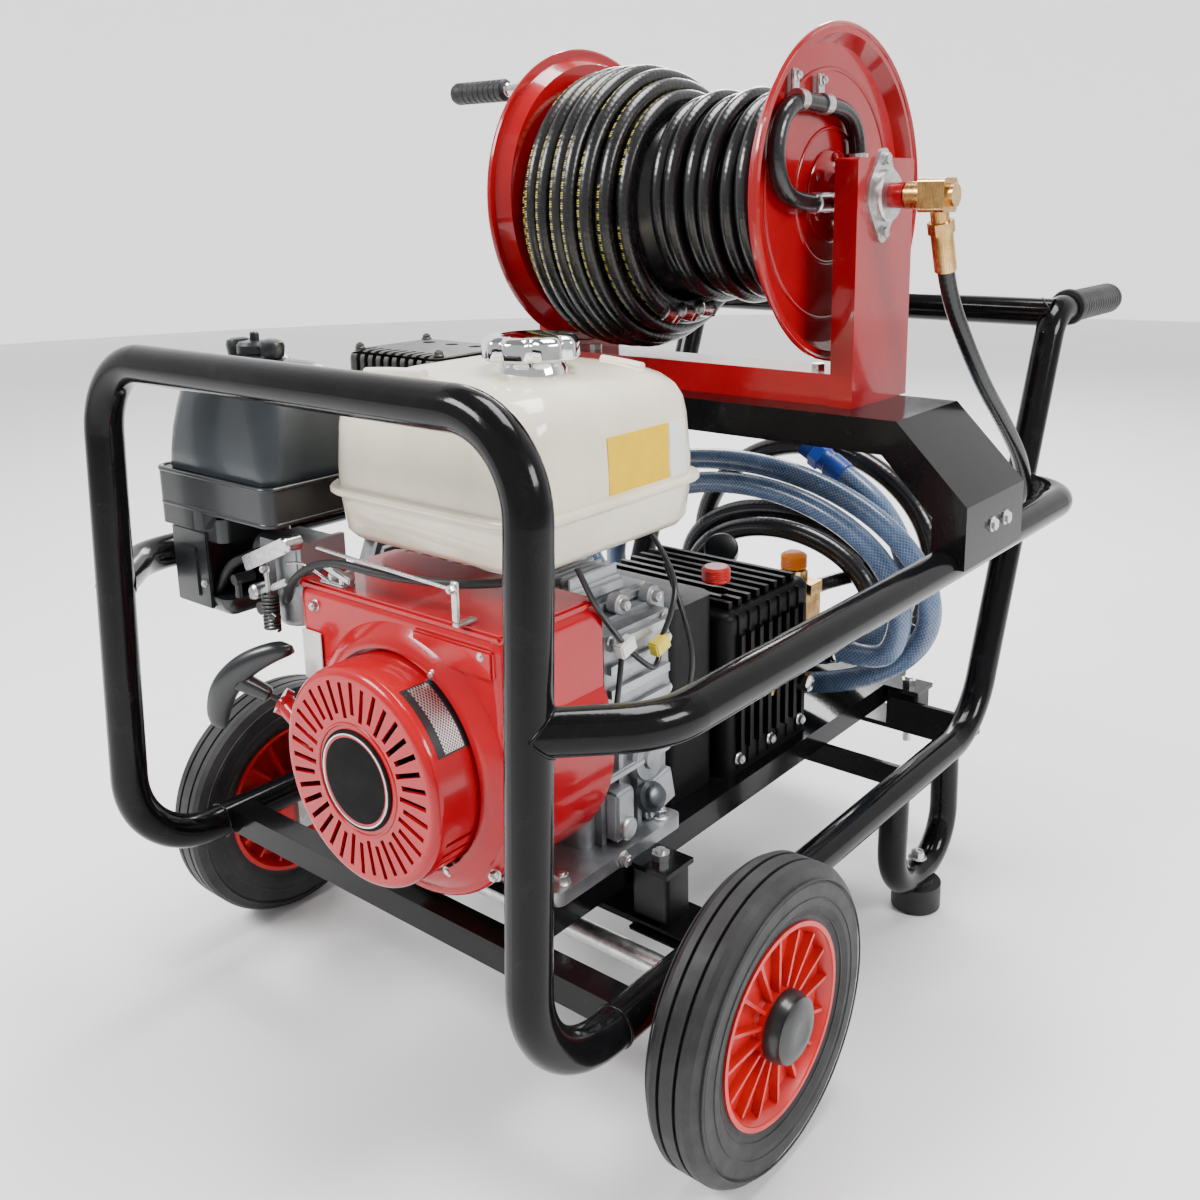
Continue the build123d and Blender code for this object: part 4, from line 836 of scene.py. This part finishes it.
def make_recoil():
    """Details on the recoil cover and the fan shroud."""
    badge = [
        (0.0, 41.0), (0.0, 42.4), (1.4, 43.0), (2.6, 42.2), (2.6, 40.4),
        (2.2, 39.6), (3.2, 30.0), (3.6, 14.0), (3.7, 1.0),
    ]
    lathe("recoil_badge", badge, crank(38.2), FRONT, "badge", steps=96)
    ring = [(0, 38.4), (0.9, 38.8), (0.9, 40.0), (0, 40.4)]
    lathe("recoil_badge_ring", ring, crank(36), FRONT, "steel", steps=96)

    tubes = [(circle(crank(y), r, "Y"), 0.0016, 10, REAR) for r, y in ((47.5, 38.2), (89.0, 41.0))]
    details("recoil_rings", "engine_red", tubes=tubes, smooth=60)

    def screen(bm):
        for a0, a1 in ((12, 66), (-66, -14)):
            lower, upper = [], []
            for k in range(15):
                a = math.radians(a0 + (a1 - a0) * k / 14)
                lower.append(bm.verts.new(at(*crank(50, 90.6, a))))
                upper.append(bm.verts.new(at(*crank(84, 90.6, a))))
            for k in range(14):
                bm.faces.new((lower[k], lower[k + 1], upper[k + 1], upper[k]))
    piece_from("recoil_screen", screen, "mesh")

    rim_bolts = [math.radians(a) for a in (62, 182, 302)]
    details(
        "shroud_bolts", "zinc",
        hexes=[(crank(88, 99, a), FRONT, 5.5, 6.0) for a in rim_bolts]
        + [((x, 93.5, z), FRONT, 4.5, 5.0) for x, z in ((-70, 436), (138, 438), (140, 250))],
    )

    # Flared step where the shroud meets the recoil cover, and pressed ribs on its face.
    step = [(0, 118), (-3, 115), (-9, 107), (-12, 102), (-12, 97), (-2, 97)]
    lathe("shroud_step", step, crank(93), REAR, "engine_red", steps=96, smooth=50)
    details(
        "shroud_ledges", "engine_red",
        blocks=[
            (-92, 156, 92, 205, 449, 457, 3.0), (60, 150, 88, 94, 420, 444, 3.0), (-58, -34, 89, 94, 350, 392, 2.5),
        ],
    )
    clip = [(-66, -34, 96, 110, 456, 460), (-40, -34, 96, 110, 459, 470)]
    details("shroud_clip", "zinc", clip, [((-56, 103, 460), UP, 4.2, 4.5)])
    details("shroud_label", "white_label", blocks=[(-88, -62, 89.2, 90.6, 366, 412, 0.4)], slot="red_paint")

    # Window with wire mesh on the cover's upper right shoulder.
    def window(name, radius, lift, y0, y1, a0, a1, look, slot=None):
        rings = []
        for k in range(19):
            a = math.radians(a0 + (a1 - a0) * k / 18)
            outline = ((y0, radius), (y0, radius + lift), (y1, radius + lift), (y1, radius))
            rings.append([at(*crank(y, r, a)) for y, r in outline])
        loft(name, rings, look, slot=slot, smooth=35)
    window("cover_window", 93.6, 0.7, 50, 84, 24, 62, "black_plastic", "red_paint")
    # The mesh has painted shade between its wires.
    window("cover_window_mesh", 94.2, 0.5, 57, 77, 25, 61, "mesh")


def make_block_details():
    """Castings, fasteners, wires and pipes on the engine's right side and top."""
    rim = [(226, 424), (270, 428), (316, 424), (330, 380), (330, 330), (326, 282)]
    details(
        "crankcase_bolts", "zinc",
        hexes=[((131, y, z), RIGHT, 5.4, 6.5) for y, z in rim + [(300, 238), (262, 232)]]
        + [((147, y, z), RIGHT, 3.8, 4.0) for z in (328, 408) for y in (234, 310)]
        + [((x, y, 211), UP, 6.5, 7.5) for x in (-66, 146) for y in (164, 304)]
        + [((158, 232, 205), RIGHT, 6.0, 7.0)],
    )
    details(
        "crankcase_castings", "alloy",
        turned=[([(-8, 10), (2, 10), (3.4, 8.5)], (129, y, z), RIGHT, 24) for y, z in rim]
        + [([(-6, 25), (4, 25), (7, 22), (7, 12), (10, 10)], (132, 300, 272), RIGHT, 40)],
        blocks=[
            (128, 150, 236, 262, 214, 262, 3.0), (128, 144, 286, 330, 214, 250, 3.0, (12, RIGHT)),
            (126, 140, 214, 330, 268, 276, 2.0), (126, 139, 214, 330, 300, 306, 2.0),
            (-40, 118, 214, 330, 418, 432, 4.0), (60, 112, 226, 300, 430, 446, 4.0),
        ] + [(66 + 9 * i, 69 + 9 * i, 230, 296, 444, 456, 1.0) for i in range(5)],
    )
    lathe(
        "oil_dipstick", [(0, 12), (3, 14), (12, 14), (13, 12), (14, 10), (20, 9.5), (21, 7)],
        (146, 282, 240), (0.86, -0.2, 0.46), "grey_plastic", steps=32,
    )
    lathe("oil_drain_plug", [(0, 9), (2, 10.5), (4, 10.5), (5, 9)], (150, 248, 226), RIGHT, "zinc")
    for color, x, y, z in (("white", 158, 240, 404), ("yellow", 160, 286, 392)):
        box = (x - 5, x + 6, y - 10, y + 10, z - 7, z + 7, 1.5, (18, RIGHT))
        details("wire_connector_" + color, color + "_plastic", blocks=[box])
    # Routes of the wires and pipes: radius, look and points.
    routes = {
        "wire_one": (2.6, "black_plastic", (158, 236, 410), (162, 214, 432), (160, 196, 458), (150, 190, 486)),
        "wire_two": (2.6, "black_plastic", (159, 246, 398), (166, 262, 380), (162, 280, 372), (160, 288, 386)),
        "wire_three": (2.6, "black_plastic", (160, 290, 398), (164, 306, 424), (150, 322, 452), (120, 330, 476)),
        "wire_four": (2.6, "black_plastic", (148, 226, 300), (160, 222, 340), (162, 228, 380), (158, 236, 398)),
        "wire_five": (2.6, "black_plastic", (152, 320, 300), (166, 330, 340), (160, 334, 392), (130, 336, 450)),
        "governor_rod": (1.6, "steel", (-44, 80, 496), (10, 80, 494), (66, 81, 492), (116, 82, 490)),
        "fuel_pipe": (
            3.6, "rubber", (-120, 100, 428), (-96, 84, 456), (-40, 84, 486), (30, 86, 484),
            (96, 92, 488), (120, 112, 487), (124, 150, 480), (116, 190, 470),
        ),
        "breather_pipe": (4.6, "rubber", (-150, 110, 470), (-176, 88, 462), (-196, 84, 440), (-206, 80, 416)),
        "governor_spring_wire": (1.2, "steel", (-100, 88, 470), (-80, 86, 476), (-60, 88, 470), (-46, 92, 462)),
    }
    for name, (radius, look, *points) in routes.items():
        slot = "mount_rubber" if look == "rubber" else None
        route_tube(name, points, radius, look, slot=slot, sides=10 if look == "black_plastic" else 12)
    details(
        "governor_linkage", "zinc",
        blocks=[
            (-160, -96, 84, 90, 438, 444, 1.2, (-24, REAR)), (-128, -122, 82, 92, 430, 480),
            (-60, -20, 92, 98, 468, 474, 1.2, (14, REAR)),
            (112, 119, 85, 88, 462, 495, 0.8), (112, 119, 85, 106, 458, 461, 0.8),
        ],
        hexes=[
            ((116, 86, 490), FRONT, 3.6, 6.0), ((-125, 84, 462), FRONT, 4.0, 5.0),
            ((-84, 84, 492), FRONT, 5.0, 5.0), ((-204, 73, 436), FRONT, 4.0, 4.5),
        ],
        turned=[([(-2, 7), (10, 7), (12, 5)], (-146, 92, 436), FRONT, 20)],
    )

    coil = [at(-124 + 8 * c, 84 + 6 * s, 404 + 34 * k / 120) for k, (c, s) in enumerate(around(12) * 10 + around(1))]
    details("governor_spring", "dark_steel", tubes=[(coil, 0.0014, 8)], smooth=60)

    # Throttle lever: a pressed channel.
    piece = details(
        "throttle_channel", "steel", body="throttle_body",
        blocks=[
            (-150, -86, 77, 89, 474, 480, 1.0, (-24, REAR)), (-152, -84, 76, 79, 470, 484, 1.0, (-24, REAR)),
        ],
        turned=[([(0, 7), (14, 7), (16, 5)], (-84, 90, 492), FRONT, 24)],
    )
    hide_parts("throttle_lever")


def make_starter():
    """Crescent grip: swept bar with a thicker middle, and the rope behind it."""
    centre = Vector((-122.0, 46.0, 368.0))
    pull = Vector((-0.5499, -0.6198, 0.5599))
    across = Vector((0.62, 0.30, 0.725)).normalized()
    thick = pull.cross(across).normalized()
    rings = []
    for i in range(25):
        t = -1 + i / 12
        middle = centre + across * (58 * t) + pull * (8 - 21 * t * t)
        swell = 1.0 - 0.28 * abs(t) ** 3
        tip = math.sqrt(max(0.0, 1 - max(0.0, abs(t) - 0.86) ** 2 / 0.0196))
        size = swell * max(tip, 0.05)
        rings.append([at(*(middle + thick * (9.5 * size * c) + pull * (12.5 * size * s))) for c, s in around(20)])
    grip = loft("starter_pull_grip", rings, "black_plastic", "starter_grip_body", smooth=60)
    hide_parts("starter_grip")
    lathe(
        "starter_grip_stem", [(-30, 5.0), (-28, 7.0), (-8, 8.5), (0, 9.5)],
        tuple(centre + pull * 2), tuple(pull), "black_plastic", "starter_grip_body", steps=28,
    )
    guide = Vector((-98.9, 72.0, 344.5))
    line = [at(*(guide + pull * (-4 + 2.25 * k))) for k in range(9)]
    rope = details("starter_rope_line", "rope", tubes=[(line, 0.0025, 12)], body=None, slot="rope")
    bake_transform(rope)
    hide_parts("starter_rope")


def make_muffler():
    details(
        "muffler_guard_ribs", "dark_steel",
        blocks=[(x - 1.2, x + 1.2, 256.5, 262, 560, 606, 0.8) for x in range(-198, -93, 13)],
        hexes=[((x, y, 633), UP, 4.2, 4.0) for y in (270, 360) for x in (-206, -90)],
    )
    lathe("exhaust_outlet", [(-14, 11), (0, 11), (0.5, 9.5), (-8, 9.0)], (-148, 372, 560), REAR, "dark_steel")


# ---- pump
def make_pump():
    ribs = [(-60, 144, y - 1.6, y + 1.6, 204, 371) for y in range(440, 555, 19)]
    details("pump_case_ribs", "black_alloy", ribs)
    details(
        "pump_bolts", "zinc",
        hexes=[((x, 421, z), FRONT, 5.5, 6.0) for x in (-28, 110) for z in (222, 376)]
        + [((143, y, 216), RIGHT, 5.0, 5.5) for y in (440, 500, 560)]
        + [((x, 612, 344), UP, 5.5, 6.5) for x in (-22, 8, 76, 106)],
    )
    glass = [(0, 17), (2, 17), (4, 15), (4, 10), (3, 9)]
    lathe("oil_sight_glass", glass, (142, 500, 280), RIGHT, "brass", steps=40, smooth=35)
    ribbed = [(0, 10), (1, 14), (3, 15)] + [(4 + i, 15 - 0.8 * (i % 2)) for i in range(12)] + [(17, 12)]
    cap = lathe(
        "oil_filler_cap_ribbed", ribbed, (100, 462, 392), UP, "red_plastic", "oil_cap_body", steps=24, smooth=35,
    )
    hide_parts("oil_filler_cap")
    ribbed = [(0, 11), (1, 14.4)] + [(3 + i, 15 - 0.9 * (i % 2)) for i in range(13)] + [(17, 13), (19.6, 8)]
    knob = lathe(
        "unloader_knob_ribbed", ribbed, (100, 616, 367.5), UP, "orange", "unloader_knob_body", steps=24,
    )
    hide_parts("unloader_knob")
    sleeve = [(0, 13), (1, 14.8), (20, 14.8), (21, 13)]
    details(
        "hose_unions", "steel",
        turned=[
            ([(-18, 12), (-17, 13.5), (-6, 13.5), (-5, 11), (2, 11)], (88, 660, 324), REAR, 6),
            ([(0, 9.5), (1, 11), (22, 11), (23, 9.5)], (88, 660, 324), REAR, 32),
            (sleeve, (142, 614, 284), RIGHT, 32), (sleeve, (52, 656, 286), REAR, 32),
            ([(0, 12), (1, 16.4), (12, 16.4), (13, 12)], (144, 614, 284), RIGHT, 6),
            ([(0, 8), (1, 10.5), (14, 10.5), (15, 8)], (143, 560, 262), RIGHT, 6),
        ],
    )
    lathe(
        "pressure_gauge", [(0, 16), (1, 20), (12, 20), (13, 18.5), (12.4, 17.5), (12.2, 1)],
        (10, 604, 372), (0.35, -0.6, 0.72), "black_plastic",
    )
    lathe("gauge_stem", [(0, 6), (30, 6)], (10, 606, 344), UP, "brass", steps=6)


# ---- frame, wheels and stand
def make_frame_details():
    grip = [(0, 17.2), (0.5, 21.0), (3, 22.2), (7, 22.2), (9, 20.2)]
    for y in range(13, 140, 9):
        grip += [(y, 19.4), (y + 1.4, 18.5), (y + 3.4, 18.5), (y + 4.8, 19.4)]
    grip += [(149, 19.5), (154, 18.6), (157, 14)]
    left, right = (
        lathe("hand_grip_" + name, grip, (x, 985, 637), REAR, "rubber", steps=40)
        for name, x in (("left", -260), ("right", 260))
    )
    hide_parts("hand_grips")

    # Weld beads: each follows the line where one tube's surface meets the next tube.
    def beads(bm):
        for side in (-1, 1):
            joints = (
                ((side * 260, 12.9, 437.5), (side * 0.724, 0.690, 0), (0, 0.047, 1), 17.0),
                ((side * 260, 856, 437.5), (side, -0.1, 0), (0, 0.36, 0.93), 17.0),
                ((side * 260, 942, 634), (-side, 0, 0), (0, 0.36, 0.93), 17.0),
                ((side * 260, 95, 164), REAR, None, 16.9),
            )
            for origin, axis, post, r in joints:
                axis = Vector(axis).normalized()
                if post:
                    one = axis.cross(Vector(post)).normalized()
                    two = one.cross(axis)
                else:
                    one, two = frame_of(axis)
                ring = []
                for k in range(97):
                    a = 2 * math.pi * k / 96
                    out = (r + 0.25 * math.sin(30 * a)) * abs(math.sin(a)) if post else 0.0
                    place = Vector(origin) + axis * out + (one * math.cos(a) + two * math.sin(a)) * r
                    ring.append(at(*place))
                tube_into(bm, ring, 0.0013, 8)
    piece_from("weld_beads", beads, "black", smooth=60)

    # Bolt inside each stand loop, and a plate over each rail.
    details("stand_bolts", "zinc", hexes=[((x, 625, 58), UP, 8.0, 7.0) for x in (-260, 260)])
    details("mount_plates", "black", blocks=[(x - 42, x + 42, 232, 292, 136, 141, 1.5) for x in (-205, 205)])


def make_wheels():
    cap = [(20, 29.5), (27, 29.5), (30, 27.5), (34, 27), (37.4, 21), (38.9, 12), (38.4, 10), (38.6, 0.5)]
    dish = [(10, 78.0), (17, 82.0), (21, 82.5), (22, 80.5), (15, 75.0), (6, 72.0), (5, 34.0), (12, 30.0), (18, 26.0)]
    for side, name in ((-1, "left"), (1, "right")):
        body = "wheel_" + name
        centre = (side * WHEEL_X, AXLE_Y, WHEEL_R)
        lathe("wheel_hub_cap_" + name, cap, centre, (side, 0, 0), "black_plastic", body, "tyre", 56, smooth=35)

        # Sixteen ribs between hub and rim, over the dished web.
        spokes = []
        x = side * (WHEEL_X + 5)
        for k in range(16):
            a = math.radians(22.5 * k)
            y, z = AXLE_Y + 52 * math.cos(a), WHEEL_R + 52 * math.sin(a)
            spokes.append((x - 6, x + 6, y - 25, y + 25, z - 1.1, z + 1.1, 0.8, (math.degrees(a), RIGHT)))
        details("wheel_web_" + name, "red_plastic", spokes, turned=[(dish, centre, (side, 0, 0), 72)], body=body)

        rings = [
            (circle((side * WHEEL_X + shift, AXLE_Y, WHEEL_R), r, "X"), 0.0009, 8, RIGHT)
            for r, lift in ((119.5, 25.8), (104.0, 26.0), (92.0, 22.3)) for shift in (-lift, lift)
        ]
        details("tyre_rings_" + name, "tyre", tubes=rings, body=body, smooth=60)


# ---- CAD nodes kept
def dress_cad():
    """Materials and softened edges for the CAD nodes that stay."""
    looks = {
        "black": ["front_hoop", "side_rail_left", "side_rail_right", "side_guards", "handle_crossbar",
                  "cross_members", "stand_loops", "reel_bridge", "base_tray"],
        "red": ["reel_stand", "reel_disc_left", "reel_disc_right", "reel_drum", "crank_arm"],
        "engine_red": ["fan_shroud", "recoil_cover"],
        "alloy": ["crankcase", "cylinder_head", "rocker_cover", "carburettor"],
        "black_alloy": ["gearbox", "pump_body"],
        "brass": ["pump_head", "swivel_body"],
        "zinc": ["bolts", "reel_bearings", "axle"],
        "dark_steel": ["muffler", "muffler_guard", "crankshaft", "pump_shaft"],
        "black_plastic": ["air_cleaner_base", "recoil_pulley", "choke_lever", "fuel_tap_lever"],
        "rubber": ["stand_feet", "rubber_mounts"],
        "tyre": ["tyre_left", "tyre_right"],
        "red_plastic": ["rim_left", "rim_right"],
    }
    softened = {
        "reel_bridge": 0.0012, "reel_stand": 0.0012, "fan_shroud": 0.0008, "recoil_cover": 0.0005,
        "crankcase": 0.0010, "pump_body": 0.0010, "air_cleaner_base": 0.0010, "base_tray": 0.0008,
        "swivel_body": 0.0006, "rubber_mounts": 0.0012, "cylinder_head": 0.0005,
    }
    for look, names in looks.items():
        for name in names:
            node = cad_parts[name]
            for slot in node.material_slots:
                slot.material = LOOKS[look]
            if name in softened:
                soften(node, softened[name])


# ---- studio
def stage_piece(name, verts, faces, shader):
    mesh = bpy.data.meshes.new(name)
    mesh.from_pydata(verts, [], faces)
    mesh.materials.append(shader.material)
    new_object(name, mesh)


def make_studio():
    floor = Shader("studio_floor")
    floor.set(Base_Color=floor.ramp(floor.noise(3, 3), 0.86, 0.89), Roughness=0.75)
    corners = [(-30, -30, 0), (30, -30, 0), (30, 30, 0), (-30, 30, 0)]
    stage_piece("floor", corners, [(0, 1, 2, 3)], floor)

    # Wall around the studio: white behind the machine as the photo sees it, fading to the world's grey.
    glow = Shader("studio_wall")
    x, y, z = glow.xyz()
    behind = glow.math("ADD", glow.product(x, -0.045), glow.product(y, 0.056))
    white = glow.ramp(glow.math("ADD", behind, 0.5), 0.30, 0.82, 0.42, 0.80)
    glow.set(Base_Color=white, Emission_Color=white, Emission_Strength=1.0, Roughness=0.9)
    verts = [(6.5 * c, 6.5 * s, height) for height in (-0.05, 8.0) for c, s in around(96)]
    faces = [(k, (k + 1) % 96, (k + 1) % 96 + 96, k + 96) for k in range(96)]
    stage_piece("studio_wall", verts, faces, glow)

    world = bpy.data.worlds.new("studio")
    bpy.context.scene.world = world
    world.use_nodes = True
    back = world.node_tree.nodes["Background"]
    back.inputs["Color"].default_value = rgba(1.0)
    back.inputs["Strength"].default_value = 0.32

    target = at(0, 450, 420)
    lamps = (
        ("key", (-1.1, -2.3, 2.5), 1.3, 120.0),
        ("side", (2.9, 0.2, 2.0), 1.3, 85.0),
        ("top", (0.2, 0.5, 3.2), 1.8, 130.0),
        ("rear", (-1.8, 2.6, 2.0), 1.4, 70.0),
    )
    for name, place, size, power in lamps:
        light = bpy.data.lights.new(name, "AREA")
        light.shape = "RECTANGLE"
        light.size = size
        light.size_y = size * 0.6
        light.energy = power
        lamp = new_object(name, light)
        lamp.location = Vector(place)
        lamp.rotation_euler = (target - lamp.location).to_track_quat("-Z", "Y").to_euler()


# ---- build
def main():
    make_camera()
    LOOKS.update(make_materials())
    make_cords()
    dress_cad()
    make_reel()
    make_tank()
    make_air_cleaner()
    make_recoil()
    make_block_details()
    make_starter()
    make_muffler()
    make_pump()
    make_frame_details()
    make_wheels()
    make_studio()


main()
